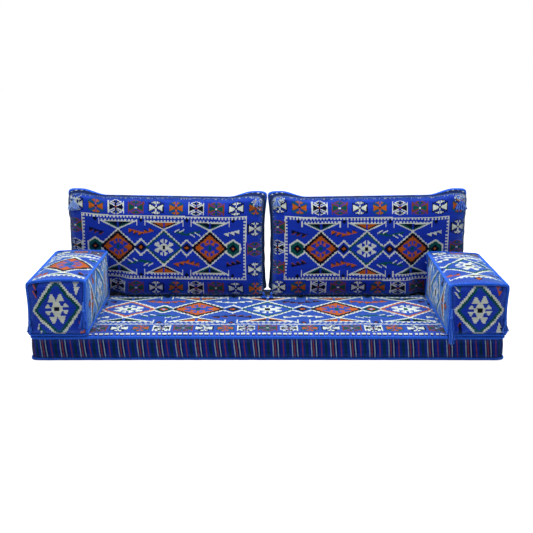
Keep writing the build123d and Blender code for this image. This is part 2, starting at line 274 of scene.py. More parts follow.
def end_hexagon(chart, x):
    """The green hexagon that closes a row of diamonds."""
    a, b = chart.around(x, 0)
    for half_width, reach, yarn in ((52, 66, WHITE), (41, 52, GREEN)):
        chart.paint((a < half_width) & (b + 0.69 * a < reach), yarn)
    rings(chart, x, 0, [(31, 31, BLACK), (9, 9, ORANGE)])


HALF_REACH = 122  # from the middle of a half diamond to its ends


def half_diamond(chart, x, base, towards, yarns, depth):
    """A flat triangle that points at a diamond, with a toothed base and a tick at each end."""
    a = np.abs(chart.x - x)
    b = (chart.y - base) * towards
    slope = depth * (1 - a / (HALF_REACH + 2))
    chart.paint((b > 0) & (b < slope) & (a < HALF_REACH), WHITE)
    fill = (b > 7) & (a > 6)
    edge = slope - chart.lines[0] * 0.7
    chart.paint(fill & (b < edge), yarns[1])
    chart.paint(fill & (b < edge - 11), yarns[0])
    chart.paint((a < 6) & (b > 6) & (b < depth - 12), GROUND)
    chart.paint((a < HALF_REACH) & (b > -9) & (b <= 0) & toothed(chart.x - x, 22), WHITE)
    chart.paint((a > HALF_REACH - 1) & (a < HALF_REACH + 5) & (b > -14) & (b < depth / 2), WHITE)


GREEN_BAND = [
    [(-80, -5), (-58, 7), (-50, -1), (-24, 7), (-16, -5), (0, -8), (2, -22), (-30, -17)],
    [
        (0, -22), (16, -20), (24, -5), (46, -12), (54, 3), (76, -6),
        (94, 8), (90, 13), (60, 9), (30, 2), (10, -6), (0, -8),
    ],
]
STROKES = [(-81, 1, 1), (-48, 0, 1), (20, -10, -1), (54, -2, -1)]  # place and slant
TOOTH, TOOTH_SHADOW = [(0, 1), (0, -27), (38, -9.5)], [(0, -28), (5, -34), (32, -15), (28, -9)]


def comb(chart, x, y, turn, yarns, alone):
    """Three teeth that hang from a slant and, unless they are alone, two that stand on the next one."""
    a, b = (chart.x - x) * turn[0], (chart.y - y) * turn[1]
    if yarns[0] == GREEN:
        for band in GREEN_BAND:
            chart.paint(polygon(a, b, band), GREEN)
        for left, level, slant in STROKES:
            stroke = (a > left) & (a < left + 33) & (np.abs(b - level - (a - left) * 0.6 * slant) < 4)
            chart.paint(stroke, yarns[1])
        return
    if alone:
        a = a - 40
    teeth = [(-82 + 33 * number, 21 - 8.6 * number, 1) for number in range(3)]
    if not alone:
        teeth += [(18 + 34 * number, -13 + 8.8 * number, -1) for number in range(2)]
        chart.paint(polygon(a, b, [(-16, 4), (-16, -22), (20, -13), (20, -5)]), yarns[0])
    for left, level, side in teeth:
        for yarn, shape in ((yarns[1], TOOTH_SHADOW), (yarns[0], TOOTH)):
            chart.paint(polygon(a, b, [(left + dx, level + dy * side) for dx, dy in shape]), yarn)


FRAME_LINE = 6.5


def along_edge(chart, half):
    """Each cell's distance in from the nearest edge of an oblong, and its place along that edge."""
    a, b = chart.around(0, 0)
    inward = np.minimum(half[0] - a, half[1] - b)
    return inward, np.where(half[0] - a < half[1] - b, chart.y, chart.x)


def toothed_frame(chart, half, pitch, reach):
    """A white line all round with teeth on its inner side."""
    inward, along = along_edge(chart, half)
    teeth = (inward < reach) & toothed(along, pitch)
    chart.paint((inward > 0) & ((inward < FRAME_LINE) | teeth), WHITE)


def dashes(chart, inset, width, yarn):
    """A broken line all round, a little way in from the edge."""
    inward, along = along_edge(chart, chart.half())
    chart.paint((inward > inset) & (inward < inset + width) & toothed(along, 21, 0.64), yarn)


MOTIF_KINDS = {
    "white": (WHITE, BLACK, None, BLACK),
    "orange": (ORANGE, GREEN, None, BLACK),
    "black": (BLACK, WHITE, WHITE, ORANGE),
    "red": (GREEN, RED, RED, WHITE),
}  # bow tie, rim, side bars and heart


def border_motif(chart, x, y, kind):
    """A bow tie with a stem and a split lens above and below, 74 mm wide and 72 mm tall."""
    main, rim, bars, heart = MOTIF_KINDS[kind]
    a, b = chart.around(x, y)
    bow = (a > 4) & (a < 32) & (b < 2.5 + (a - 4) * 0.5)
    head = lozenge(a, np.abs(b - 26), 20, 8.5)
    stem = (a < 3) & (b < 24)
    chart.paint((a > 5) & (a < 36) & (b > 5) & (b < 8.5 + (a - 3) * 0.5), rim)
    chart.paint(lozenge(a, np.abs(b - 26), 30, 13), rim)
    if kind == "white":
        chart.paint((a >= 32) & (a < 36.5) & (b < 26), rim)
    chart.paint(bow | head | stem, main)
    chart.paint((b > 21) & (b < 40) & (a < 2.5), GROUND)
    if bars is not None:
        chart.paint((a > 33) & (a < 38) & (b < 32), bars)
    chart.paint((a < 5) & (b < 4), heart)


def border_row(chart, first, step, kinds):
    """Border motifs in a row."""
    for number, kind in enumerate(kinds):
        border_motif(chart, first[0] + step[0] * number, first[1] + step[1] * number, kind)


PITCH = 300  # from diamond to diamond, at full scale
DIAMOND = (134, 128)  # half width and height
DIAMOND_EDGE, JOINT_EDGE = (132, 128), (61, 62)
COMB_HEIGHT = 106  # from the middle of the row
BASE = 178  # from a diamond's middle to the bases of its half diamonds
BAR_YARNS = {"orange": (ORANGE, BLACK), "outlined": (BLACK, GREEN), "green": (BLACK, ORANGE)}
COMB_YARNS = {
    "orange": (ORANGE, BLACK),
    "green": (GREEN, WHITE),
    "white": (WHITE, NAVY),
    "dark": (BLACK, RED),
}


def diamond_row(chart, middle, kinds, bars, joint, combs, turned=True, rolled=False, base=BASE):
    """Diamonds side by side with what fills the field before and behind them."""
    centres = [PITCH * (number - (len(kinds) - 1) / 2) for number in range(len(kinds))]
    joints = [x + PITCH / 2 for x in [centres[0] - PITCH, *centres]]
    for x, kind in zip(centres, bars):
        for end in (-1, 1):
            half_diamond(chart, x, middle + end * base, -end, BAR_YARNS[kind], base - 118)
    for x in joints:
        for end in (-1, 1):
            heart = ORANGE if end < 0 and len(kinds) > 3 else BLACK
            rings(chart, x, middle + end * (base + 9), [(15, 16, BLACK), (6, 7, heart)])
    for x, pair in zip(joints, combs):
        alone = len(kinds) == 3 and abs(x) > PITCH
        across = -1 if (x > PITCH if alone else len(kinds) != 3 and x < 0) else 1
        for end, name in zip((-1, 1), pair):
            turn = (-across if rolled and end < 0 else across, end)
            comb(chart, x, middle + end * COMB_HEIGHT, turn, COMB_YARNS[name], alone)
    for places, half in ((joints, JOINT_EDGE), (centres, DIAMOND_EDGE)):
        for x in places:
            outline(chart, x, middle, half)
    for x, kind in zip(joints, joint):
        rings(chart, x, middle, [(48, 47, GROUND), *JOINT_RINGS[kind]])
    for x, kind in zip(centres, kinds):
        diamond(chart, x, middle, kind, turned, DIAMOND)


SEAT_BORDER = 127  # from the mattress's edge to the toothed frame
SEAT_MOTIFS = (82, 86)  # from its edge, and from one to the next
SEAT_ORDER = ["red", "black", "orange", "white"]


def seat_chart(width, height, cells):
    """The mattress's top: five diamonds, a toothed frame and a border of bow ties."""
    chart = Chart(width, height, cells)
    kinds = ["outlined", "orange", "green", "orange", "outlined"]
    joint = ["black", "green", "black", "black", "green", "black"]
    ends, middles = ("white", "dark"), ("green", "orange")
    combs = [ends, middles, ends[::-1], ends, middles, ends]
    diamond_row(chart, 0, kinds, kinds, joint, combs)
    frame_half = chart.half() - SEAT_BORDER
    chart.paint(along_edge(chart, frame_half)[0] < 12, GROUND)
    toothed_frame(chart, frame_half, 21, 14)
    column, row = chart.half() - SEAT_MOTIFS[0]
    pitch = SEAT_MOTIFS[1]
    long_side = [SEAT_ORDER[abs(n) % 4] for n in range(-9, 10)]
    short_side = [SEAT_ORDER[n % 4] for n in range(7)]
    for end in (-1, 1):
        border_row(chart, (-9 * pitch, end * row), (pitch, 0), long_side)
        border_row(chart, (end * column, -3 * pitch), (0, pitch), short_side)
    dashes(chart, 25, 8, WHITE)
    dashes(chart, 13, 7, NAVY)
    return chart


BACK_SCALE = (0.692, 0.68)
BACK_SHIFT = {"left": (-9, -1), "right": (-11, -8)}
BACK_TURN = -0.6
LOW_COMBS = {"left": ["white", "green", "orange", "dark"], "right": ["dark", "orange", "green", "white"]}
BACK_BORDER_SCALE = (0.94, 0.90)
BACK_FRAME = (538, 217)  # half width and height of the toothed frame
BACK_HEXAGON = 453  # from the middle to the hexagons that close the row
BACK_MOTIFS = (404, 187)  # from the middle to the corner motifs, in millimetres of the panel
BACK_COLUMN_SHIFT = 13  # of the left column, outward
BACK_ORDER = ["white", "orange", "black", "red"]


def back_chart(width, height, cells, side):
    """A back cushion's front: three diamonds in a toothed frame, bow ties all round."""
    chart = Chart(width, height, cells)
    chart.lines = (13, 15, 24)
    chart.rescale(*BACK_SCALE, BACK_SHIFT[side], BACK_TURN)
    kinds, bars = ["orange", "green", "orange"], ["outlined", "orange", "outlined"]
    combs = list(zip(LOW_COMBS[side], ["dark", "orange", "green", "white"]))
    diamond_row(chart, 0, kinds, bars, ["black"] * 4, combs, rolled=side == "left")
    for end in (-1, 1):
        end_hexagon(chart, end * BACK_HEXAGON)
        diamond(chart, end * PITCH, 0, "orange", True, DIAMOND)
    a, b = chart.around(0, 0)
    chart.paint((a > BACK_FRAME[0] - 16) | (b > BACK_FRAME[1]), GROUND)
    toothed_frame(chart, BACK_FRAME, 22, 19)
    chart.rescale(*BACK_BORDER_SCALE, (0, -4), BACK_TURN)
    across, up = np.array(BACK_MOTIFS) / BACK_BORDER_SCALE
    for end in (-1, 1):
        border_row(chart, (-across, end * up), (across * 2 / 9, 0), (BACK_ORDER * 3)[:10])
    border_row(chart, (-across - BACK_COLUMN_SHIFT, -up / 2), (0, up / 2), ["red", "black", "red"])
    border_row(chart, (across, -up / 2), (0, up / 2), ["white", "red", "white"])
    chart.rescale(1, 1)
    # a painted highlight along the raw edges, and frayed threads at the corners
    edge_highlight_and_fray(chart)
    return chart


EDGE_HIGHLIGHT_REACHES = (5, 8)  # reach of the painted highlight's pale line and of its loose white threads, from a raw edge
FRAY_CORNERS = (62, 56)  # reach of the white and of the sky blue threads, from an upper corner


def edge_highlight_and_fray(chart):
    """A painted highlight along the raw edge of a panel without piping, woven as a pale line and loose white
    threads, and pale frayed threads at its corners, most of all the upper ones.
    """
    half = chart.half()
    edge_x, edge_y = half[0] - np.abs(chart.x), half[1] - np.abs(chart.y)
    edge = np.minimum(edge_x, edge_y)
    corner = np.hypot(edge_x, edge_y) * np.where(chart.y > 0, 1, 2)
    chance = random.uniform(size=edge.shape)
    # painted highlight: a pale line and loose white threads along the raw edge, where the edge catches the
    # light
    chart.paint((edge < EDGE_HIGHLIGHT_REACHES[0]) & (chance < 0.75), SKY)
    chart.paint((edge < EDGE_HIGHLIGHT_REACHES[1]) & (chance < 0.16), WHITE)
    chart.paint((corner < FRAY_CORNERS[0]) & (chance < 0.62 - corner / 160), WHITE)
    chart.paint((corner < FRAY_CORNERS[1]) & (chance > 0.86), SKY)


ARM_END_SCALE = (0.79, 0.88)
ARM_END_DIAMOND, ARM_END_CUT = (138, 134), 112
ARM_END_PLACE = {"left": ((4, 0), 3), "right": ((3, 2), 1.5)}


def arm_end_chart(width, height, cells, bits, shift, turn):
    """An arm's end: one green edged diamond and what the cut leaves in its corners."""
    chart = Chart(width, height, cells)
    for yarn, corners in bits:
        chart.paint(polygon(chart.x, chart.y, corners), yarn)
    chart.rescale(*ARM_END_SCALE, shift, turn)
    chart.lines = (16, 18, 12)
    outline(chart, 0, 0, ARM_END_DIAMOND, ARM_END_CUT)
    diamond(chart, 0, 0, "green", False, ARM_END_DIAMOND, ARM_END_CUT)
    return chart


ARM_BITS = {
    "left": [
        (BLACK, [(-87, 97), (-66, 97), (-77, 74)]),
        (BLACK, [(-86, 72), (-71, 72), (-78, 46)]),
        (ORANGE, [(-92, 97), (-86, 97), (-77, 72), (-82, 72)]),
        (ORANGE, [(-95, 72), (-89, 72), (-76, 44), (-81, 44)]),
        (WHITE, [(66, 98), (94, 98), (78, 74)]),
        (WHITE, [(73, 79), (97, 80), (84, 48)]),
        (WHITE, [(-74, -54), (-69, -54), (-75, -78), (-80, -78)]),
        (WHITE, [(-67, -78), (-62, -78), (-64, -97), (-69, -97)]),
        (GREEN, [(-71, -58), (-58, -82), (-71, -82)]),
        (GREEN, [(-57, -74), (-43, -98), (-57, -98)]),
        (ORANGE, [(92, -48), (98, -72), (120, -88), (116, -94), (92, -94)]),
    ],
    "right": [
        (WHITE, [(-101, 96), (-95, 96), (-79, 75), (-84, 73)]),
        (WHITE, [(-101, 75), (-95, 75), (-79, 50), (-84, 48)]),
        (GREEN, [(-88, 96), (-72, 96), (-77, 74)]),
        (GREEN, [(-86, 72), (-74, 72), (-78, 50)]),
        (ORANGE, [(64, 98), (85, 98), (73, 78)]),
        (ORANGE, [(71, 80), (90, 80), (79, 57)]),
        (BLACK, [(86, 92), (95, 92), (90, 72)]),
        (RED, [(-80, -47), (-72, -47), (-66, -66), (-84, -66)]),
        (BLACK, [(-80, -52), (-70, -56), (-58, -100), (-74, -100)]),
        (BLACK, [(92, -42), (104, -97), (90, -97)]),
        (WHITE, [(86, -44), (97, -68), (90, -68), (97, -90), (74, -90)]),
    ],
}


ARM_TOP_SCALE, ARM_WALL_SCALE = (0.88, 1.13), (0.86, 0.96)
ARM_TOP_MIDDLE, ARM_WALL_MIDDLE = {"left": 222, "right": 252}, 252  # from the front seam
ARM_TOP_BASE, ARM_TOP_SHIFT = 152, {"left": -11, "right": -7}
ARM_LINE, ARM_LINE_WIDTH = 32, 8  # the toothed line behind the half diamonds, from their bases
ARM_MOTIFS = (87, 84)  # from one to the next, and behind those bases
ARM_TOP_KINDS = {"left": ("orange", "outlined"), "right": ("green", "orange")}  # diamond and half diamonds
ARM_INNER_KINDS, ARM_OUTER_KINDS = ("green", "orange"), ("orange", "outlined")


def arm_side_chart(width, length, cells, kind, bars, middle, scale, base=BASE, shift=0):
    """An arm's long side: a diamond across it, with half diamonds and toothed lines before and behind."""
    chart = Chart(width, length, cells)
    chart.rescale(*scale, (shift, 0))
    middle = (middle - length / 2 / MM) / scale[1]
    combs = [("dark", "green"), ("orange", "white")]
    diamond_row(chart, middle, [kind], [bars], ["green", "black"], combs, False, base=base)
    if kind == "green":
        rings(chart, 0, middle - base - 24, [(22, 20, BLACK), (15, 13, ORANGE)])
    beyond = chart.y - middle
    line = base + ARM_LINE
    chart.paint((beyond > line) & (beyond < line + ARM_LINE_WIDTH), WHITE)
    chart.paint((beyond > line - ARM_LINE_WIDTH) & (beyond <= line) & toothed(chart.x, 22), WHITE)
    step, row = ARM_MOTIFS
    border_row(chart, (-step, middle + base + row), (step, 0), ["red", "orange", "white"])
    return chart


# Cushion meshes

def shoulder_rise(form, u, v, end):
    """How much of its crown an end panel has at each point."""
    seam = (form.rear, form.front)[end]
    rise = np.ones_like(u)
    for share, size in ((u, seam.width), (v, seam.height)):
        inward = np.clip((1 - np.abs(share)) * size / 2 / form.shoulders[end], 0, 1)
        rise = rise * np.sqrt(1 - (1 - inward) ** 2)
    return rise


def form_points(form, u, v, w):
    """World points for shares u and v across the form, from -1 to 1, and w along its axis, from 0 to 1."""
    rear, front = form.rear, form.front
    half_width = mix(rear.width, front.width, w) / 2
    half_height = mix(rear.height, front.height, w) / 2
    corner = mix(rear.corner, front.corner, w)
    x, y = u * half_width, v * half_height
    p = np.clip((np.abs(x) - half_width + corner) / corner, 0, 1)
    q = np.clip((np.abs(y) - half_height + corner) / corner, 0, 1)
    x = x - np.sign(x) * corner * p * (1 - np.sqrt(1 - q * q / 2))
    y = y - np.sign(y) * corner * q * (1 - np.sqrt(1 - p * p / 2))
    swell = np.sin(math.pi * w)
    draws = [mix(rear.draws[n], front.draws[n], w) - form.bulges[n] * swell for n in range(4)]
    bows = [1 - np.abs(share) ** bow for share, bow in zip((u, v, u, v), form.bows)]
    if form.ear:
        flat = np.clip((np.abs(u) - EAR_START) / (EAR_END - EAR_START), 0, 1)
        bows[2] = 1 - form.ear * flat * flat * (3 - 2 * flat) * ((1 + v) / 2) ** 3
    x = x + draws[3] * bows[3] * (1 - u) / 2 - draws[1] * bows[1] * (1 + u) / 2
    y = y + draws[0] * bows[0] * (1 - v) / 2 - draws[2] * bows[2] * (1 + v) / 2
    rear_rise, front_rise = (mix(*ends, (1 + u) / 2) for ends in form.rise)
    y = y + mix(rear_rise, front_rise, w) * (1 + v) / 2
    world_x = np.abs(form.origin[0] + x)
    free = np.clip((SLUMP_END - world_x) / SLUMP_FADE, 0, 1)
    z = w * (form.depth + form.slump * ((1 - v) / 2) ** 1.7 * free * free * (3 - 2 * free))
    z = z + np.where(w > 0.999, form.crowns[1] * shoulder_rise(form, u, v, 1), 0)
    z = z - np.where(w < 0.001, form.crowns[0] * shoulder_rise(form, u, v, 0), 0)
    return np.array(form.origin) + np.stack([x, y, z], 1) @ np.array(form.axes, float)


def panel_grids(cells):
    """Each panel's grid of lattice places, in the order of their numbers, turned to face outward."""
    na, nb, nc = cells
    a, b, c = np.arange(na + 1), np.arange(nb + 1), np.arange(nc + 1)
    return [
        (a[None, :], b[::-1, None], 0),
        (a[None, :], b[:, None], nc),
        (a[None, :], 0, c[:, None]),
        (na, b[None, :], c[:, None]),
        (a[None, ::-1], nb, c[:, None]),
        (0, b[None, ::-1], c[:, None]),
    ]


def cell_corners(grid):
    """The four corners of each cell of a grid, in turn."""
    corners = np.stack([grid[:-1, :-1], grid[:-1, 1:], grid[1:, 1:], grid[1:, :-1]], 2)
    return corners.reshape(-1, *corners.shape[2:])


def cushion_mesh(form):
    """The lattice mesh of a closed box cushion, with its panels as material numbers and places as UVs."""
    na, nb, nc = form.cells
    number = np.full((na + 1, nb + 1, nc + 1), -1)
    surface = np.zeros(number.shape, bool)
    for end in (0, -1):
        surface[end] = surface[:, end] = surface[:, :, end] = True
    number[surface] = np.arange(surface.sum())
    i, j, k = np.nonzero(surface)
    points = form_points(form, 2 * i / na - 1, 2 * j / nb - 1, k / nc)
    flat, upright = (form.rear.width, form.depth), (form.rear.height, form.depth)
    sizes = [form.rear[:2], form.front[:2], flat, upright, flat, upright]
    faces, panels, places = [], [], []
    for panel, (grid, size) in enumerate(zip(panel_grids(form.cells), sizes)):
        index = number[grid]
        spans = [np.linspace(-span / 2, span / 2, count) for span, count in zip(size, index.shape[::-1])]
        faces.append(cell_corners(index))
        panels.append(np.full(len(faces[-1]), panel))
        places.append(cell_corners(np.stack(np.meshgrid(*spans), -1)))
    mesh = bpy.data.meshes.new(form.name)
    mesh.from_pydata(points.tolist(), [], np.concatenate(faces).tolist())
    mesh.polygons.foreach_set("material_index", np.concatenate(panels).astype(np.int32))
    add_uv(mesh, "weave", np.concatenate(places))
    mesh.update()
    return mesh


def read(items, name, width=1, kind=np.float32):
    """One number or vector of each vertex, edge, corner or face."""
    values = np.empty(len(items) * width, kind)
    items.foreach_get(name, values)
    return values.reshape(-1, width) if width > 1 else values


def add_attribute(mesh, name, domain, values):
    """A number that the mesh carries at each point, edge or face."""
    mesh.attributes.new(name, "FLOAT", domain).data.foreach_set("value", np.asarray(values, np.float32))


def add_uv(mesh, name, places):
    """A UV map with a place for each corner of each face."""
    mesh.uv_layers.new(name=name).data.foreach_set("uv", places.astype(np.float32).ravel())


def face_panels(mesh):
    """The panel of each face."""
    return read(mesh.polygons, "material_index", kind=np.int32)


def edge_panels(mesh):
    """The two panels at each edge of a closed mesh."""
    by_loop = np.repeat(face_panels(mesh), read(mesh.polygons, "loop_total", kind=np.int32))
    return by_loop[np.argsort(read(mesh.loops, "edge_index", kind=np.int32), kind="stable")].reshape(-1, 2)


def edge_ends(mesh):
    """The two vertices of each edge."""
    return read(mesh.edges, "vertices", 2, np.int32)


def crease_seams(mesh):
    """Keeps every seam sharp when the mesh is subdivided, and returns the seam vertices."""
    pairs = edge_panels(mesh)
    seam = pairs[:, 0] != pairs[:, 1]
    add_attribute(mesh, "crease_edge", "EDGE", seam)
    return np.unique(edge_ends(mesh)[seam])


def read_points(mesh):
    """A mesh's vertex places."""
    return read(mesh.vertices, "co", 3).astype(float)


def write_points(mesh, points):
    """Sets a mesh's vertex places."""
    mesh.vertices.foreach_set("co", points.astype(np.float32).ravel())
    mesh.update()


CLOTH = {
    "quality": 5,
    "mass": 0.4,
    "use_pressure": True,
    "uniform_pressure_force": 4.0,
    "vertex_group_mass": "seams",
    "shrink_min": -0.012,
    "tension_stiffness": 12,
    "compression_stiffness": 12,
    "bending_stiffness": 0.6,
}
CLOTH_FRAMES = 20


def inflate(piece, seam):
    """Blows the cover up against its seams as cloth, and keeps each point near where it was."""
    before = read_points(piece.data)
    piece.vertex_groups.new(name="seams").add(seam.tolist(), 1.0, "REPLACE")
    cloth = piece.modifiers.new("cloth", "CLOTH")
    for name, value in CLOTH.items():
        setattr(cloth.settings, name, value)
    cloth.settings.effector_weights.gravity = 0
    cloth.collision_settings.use_collision = False
    cloth.point_cache.frame_start, cloth.point_cache.frame_end = 1, CLOTH_FRAMES
    for number in range(1, CLOTH_FRAMES + 1):
        bpy.context.scene.frame_set(number)
    shown = piece.evaluated_get(bpy.context.evaluated_depsgraph_get())
    moved = read_points(shown.data) - before
    piece.modifiers.remove(cloth)
    piece.vertex_groups.clear()
    bpy.context.scene.frame_set(1)
    length = np.linalg.norm(moved, axis=1, keepdims=True)
    kept = moved * np.minimum(1, SWELL_CAP * np.tanh(length / SWELL_CAP) / np.maximum(length, 1e-9))
    write_points(piece.data, before + kept)


def subdivide(piece):
    """Two rounds of subdivision, applied."""
    modifier = piece.modifiers.new("subdivide", "SUBSURF")
    modifier.levels = modifier.render_levels = 2
    modifier.uv_smooth = "NONE"
    shown = piece.evaluated_get(bpy.context.evaluated_depsgraph_get())
    mesh = bpy.data.meshes.new_from_object(shown)
    piece.modifiers.clear()
    old = piece.data
    piece.data = mesh
    bpy.data.meshes.remove(old)
    mesh.name = piece.name


def loop_places(mesh):
    """The flat place of each corner of each quad."""
    return read(mesh.uv_layers["weave"].data, "uv", 2).reshape(-1, 4, 2).astype(float)


def panel_sizes(mesh):
    """The size of each panel, from its UVs."""
    places, panels = loop_places(mesh), face_panels(mesh)
    return {p: 2 * np.abs(places[panels == p]).reshape(-1, 2).max(0) for p in range(6)}


def seam_distance(mesh):
    """Each vertex's distance from the nearest seam, measured in the flat cloth."""
    places, panels, sizes = loop_places(mesh), face_panels(mesh), panel_sizes(mesh)
    half = np.array([sizes[p] / 2 for p in range(6)])[panels][:, None, :]
    inward = (half - np.abs(places)).min(2)
    distance = np.full(len(mesh.vertices), 9.0)
    np.minimum.at(distance, read(mesh.loops, "vertex_index", kind=np.int32), inward.ravel())
    return distance


def normals(mesh):
    """Each vertex's normal."""
    return read(mesh.vertex_normals, "vector", 3).astype(float)


PUCKER_DEPTH = 1.3 * MM
GATHER_SHARE, DENT_SHARE = 2.2, 1.6  # of that depth
GATHER_PITCH, GATHER_PLACE, GATHER_REACH = 46 * MM, 14 * MM, 11 * MM
DENT_PITCH, DENT_START = 210 * MM, 60 * MM


def pucker(mesh, seed):
    """Gathers along the seams and faint dents over the panels."""
    points = read_points(mesh)
    distance = seam_distance(mesh)
    near = np.exp(-((distance - GATHER_PLACE) / GATHER_REACH) ** 2)
    gathers = ripple(points, GATHER_PITCH, seed) * near * PUCKER_DEPTH * GATHER_SHARE
    inner = np.clip(distance / DENT_START, 0, 1)
    dents = ripple(points, DENT_PITCH, seed + 1) * inner * PUCKER_DEPTH * DENT_SHARE
    write_points(mesh, points + normals(mesh) * (gathers + dents)[:, None])
    add_attribute(mesh, "seam_distance", "POINT", distance)


def weave_yarns(mesh, charts):
    """Gives each face the yarn that its panel's chart has there, and returns the yarns."""
    centres, panels = loop_places(mesh).mean(1), face_panels(mesh)
    yarn = np.full(len(panels), GROUND)
    for panel, chart in charts.items():
        chosen = panels == panel
        yarn[chosen] = chart.at(centres[chosen])
    add_attribute(mesh, "yarn", "FACE", (yarn + 0.5) / len(PALETTE))
    return yarn


BAKE_GAP = 6 * MM  # between panels in the map for baking


def lay_out_panels(mesh):
    """A second UV map in which the six panels lie side by side without overlap."""
    sizes = panel_sizes(mesh)
    offsets, top, width = {}, 0.0, 0.0
    for row in ((REAR,), (FRONT,), (BOTTOM,), (TOP,), (RIGHT, LEFT)):
        left = 0.0
        for panel in row:
            offsets[panel] = (left + sizes[panel][0] / 2, top + sizes[panel][1] / 2)
            left += sizes[panel][0] + BAKE_GAP
        width = max(width, left)
        top += max(sizes[panel][1] for panel in row) + BAKE_GAP
    shift = np.array([offsets[p] for p in range(6)])[face_panels(mesh)][:, None, :]
    add_uv(mesh, "OFBake", (loop_places(mesh) + shift) / max(width, top))


def ordered(edges):
    """Seam edges as one run of vertices, and whether it closes on itself."""
    joined = {}
    for a, b in edges.tolist():
        joined.setdefault(a, []).append(b)
        joined.setdefault(b, []).append(a)
    ends = [v for v, others in joined.items() if len(others) == 1]
    start = min(ends) if ends else min(joined)
    run, before = [start], None
    while True:
        ahead = [v for v in joined[run[-1]] if v != before]
        if not ahead or ahead[0] == start:
            break
        before = run[-1]
        run.append(ahead[0])
    return np.array(run), not ends


def seam_run(mesh, first, others):
    """The vertices along the seam between one panel and some others."""
    pairs = np.sort(edge_panels(mesh), axis=1)
    wanted = np.zeros(len(pairs), bool)
    for other in others:
        wanted |= (pairs == sorted((first, other))).all(1)
    return ordered(edge_ends(mesh)[wanted])


def smooth_run(points, closed, rounds):
    """Points of a run moved towards their neighbours."""
    for _ in range(rounds):
        before, after = np.roll(points, 1, 0), np.roll(points, -1, 0)
        new = (before + 2 * points + after) / 4
        if not closed:
            new[0], new[-1] = points[0], points[-1]
        points = new
    return points


STRIP_FILL = 0.9  # of a strip's height in the map for baking
OFF_AXIS = (0.31, -0.9, 0.3)  # a direction that no loose strand follows


class Tubes:
    """Several round strands gathered into one mesh, with a UV strip for each."""

    def __init__(self, sides):
        self.sides = sides
        self.points, self.faces, self.places, self.strips = [], [], [], []
        self.sleeves, self.tints = [], []
        self.count = 0
        self.rows = 0

    def add(self, line, radius, closed=False, out=None, rows=1, tint=0.0):
        """Adds a strand along a line."""
        line = np.asarray(line, float)
        radius = np.broadcast_to(radius, len(line))
        ahead = np.roll(line, -1, 0) - np.roll(line, 1, 0)
        if not closed:
            ahead[0], ahead[-1] = line[1] - line[0], line[-1] - line[-2]
        ahead /= np.linalg.norm(ahead, axis=1, keepdims=True)
        if out is None:
            out = np.tile(OFF_AXIS, (len(line), 1))
        out = out - ahead * (out * ahead).sum(1, keepdims=True)
        out /= np.linalg.norm(out, axis=1, keepdims=True)
        side = np.cross(ahead, out)
        angle = TURN * np.arange(self.sides) / self.sides
        ring = out[:, None] * np.cos(angle)[:, None] + side[:, None] * np.sin(angle)[:, None]
        points = line[:, None] + ring * radius[:, None, None]
        count, n = len(line), self.sides
        spans = count if closed else count - 1
        spanned = np.arange(spans)
        near, far = (self.count + n * (number % count)[:, None] for number in (spanned, spanned + 1))
        this, other = np.arange(n), np.roll(np.arange(n), -1)
        quads = np.stack([near + this, near + other, far + other, far + this], -1)
        length = np.concatenate([[0], np.cumsum(np.linalg.norm(np.diff(line, axis=0), axis=1))])
        step = np.append(length, length[-1] + length[-1] / max(count - 1, 1))
        along = np.stack([step[:spans], step[1:spans + 1]], 1)
        share = np.arange(n + 1) / n
        u = along[:, None, [0, 0, 1, 1]] * np.ones((1, n, 1))
        v = np.stack([share[:-1], share[1:], share[1:], share[:-1]], 1)[None] * np.ones((spans, 1, 1))
        self.points.append(points.reshape(-1, 3))
        self.sleeves.append(len(self.faces) + np.arange(spans * n))
        self.faces.extend(quads.reshape(-1, 4).tolist())
        places = np.stack([u, v], -1).reshape(-1, 4, 2)
        self.places.append(places)
        per_row = math.ceil(spans / rows)
        row = spanned // per_row
        begin = np.repeat(step[row * per_row], n)
        reach = max(step[min(per_row, spans)], 1e-6)
        packed_u = (places[..., 0] - begin[:, None]) / reach
        packed_v = places[..., 1] * STRIP_FILL + (self.rows + np.repeat(row, n))[:, None]
        self.strips.append(np.stack([packed_u, packed_v], -1))
        self.rows += rows
        if not closed:
            for start, turn in ((self.count, -1), (self.count + (count - 1) * n, 1)):
                self.faces.append((start + np.arange(n))[::turn].tolist())
        self.tints += [tint] * (len(self.faces) - len(self.tints))
        self.count += count * n

    def mesh(self, name):
        """The finished mesh."""
        mesh = bpy.data.meshes.new(name)
        mesh.from_pydata(np.concatenate(self.points).tolist(), [], self.faces)
        sides = np.array([len(face) for face in self.faces])
        starts = np.concatenate([[0], np.cumsum(sides)[:-1]])
        quad = np.concatenate(self.sleeves)
        corners = (starts[quad][:, None] + np.arange(4)).ravel()
        for layer, values, rows in (("weave", self.places, 1), ("OFBake", self.strips, self.rows)):
            uv = np.zeros((len(mesh.loops), 2), np.float32)
            uv[corners] = np.concatenate(values).reshape(-1, 2)
            uv[:, 1] /= rows
            add_uv(mesh, layer, uv)
        add_attribute(mesh, "tint", "FACE", self.tints)
        mesh.update()
        mesh.shade_smooth()
        return mesh


def place_object(name, data, place=(0, 0, 0), turn=(0, 0, 0)):
    """A new object in the scene."""
    made = bpy.data.objects.new(name, data)
    made.location, made.rotation_euler = place, turn
    bpy.context.scene.collection.objects.link(made)
    return made


def new_piece(name, mesh, body, nodes=(), material=None):
    """A piece that stands for some CAD nodes and rides on their body."""
    piece = place_object(name, mesh)
    if material:
        mesh.materials.append(materials[material])
    if nodes:
        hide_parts(*nodes)
    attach(piece, body)
    return piece


# Materials

PALE = {"kilim": (86, 130, 228), "stripes": (80, 110, 200), "dots": (70, 96, 190)}  # rubbed cloth


def sum_of(operation):
    """One kind of sum between a number in a material and another number."""
    return lambda first, second: first.graph.math(operation, first, second)


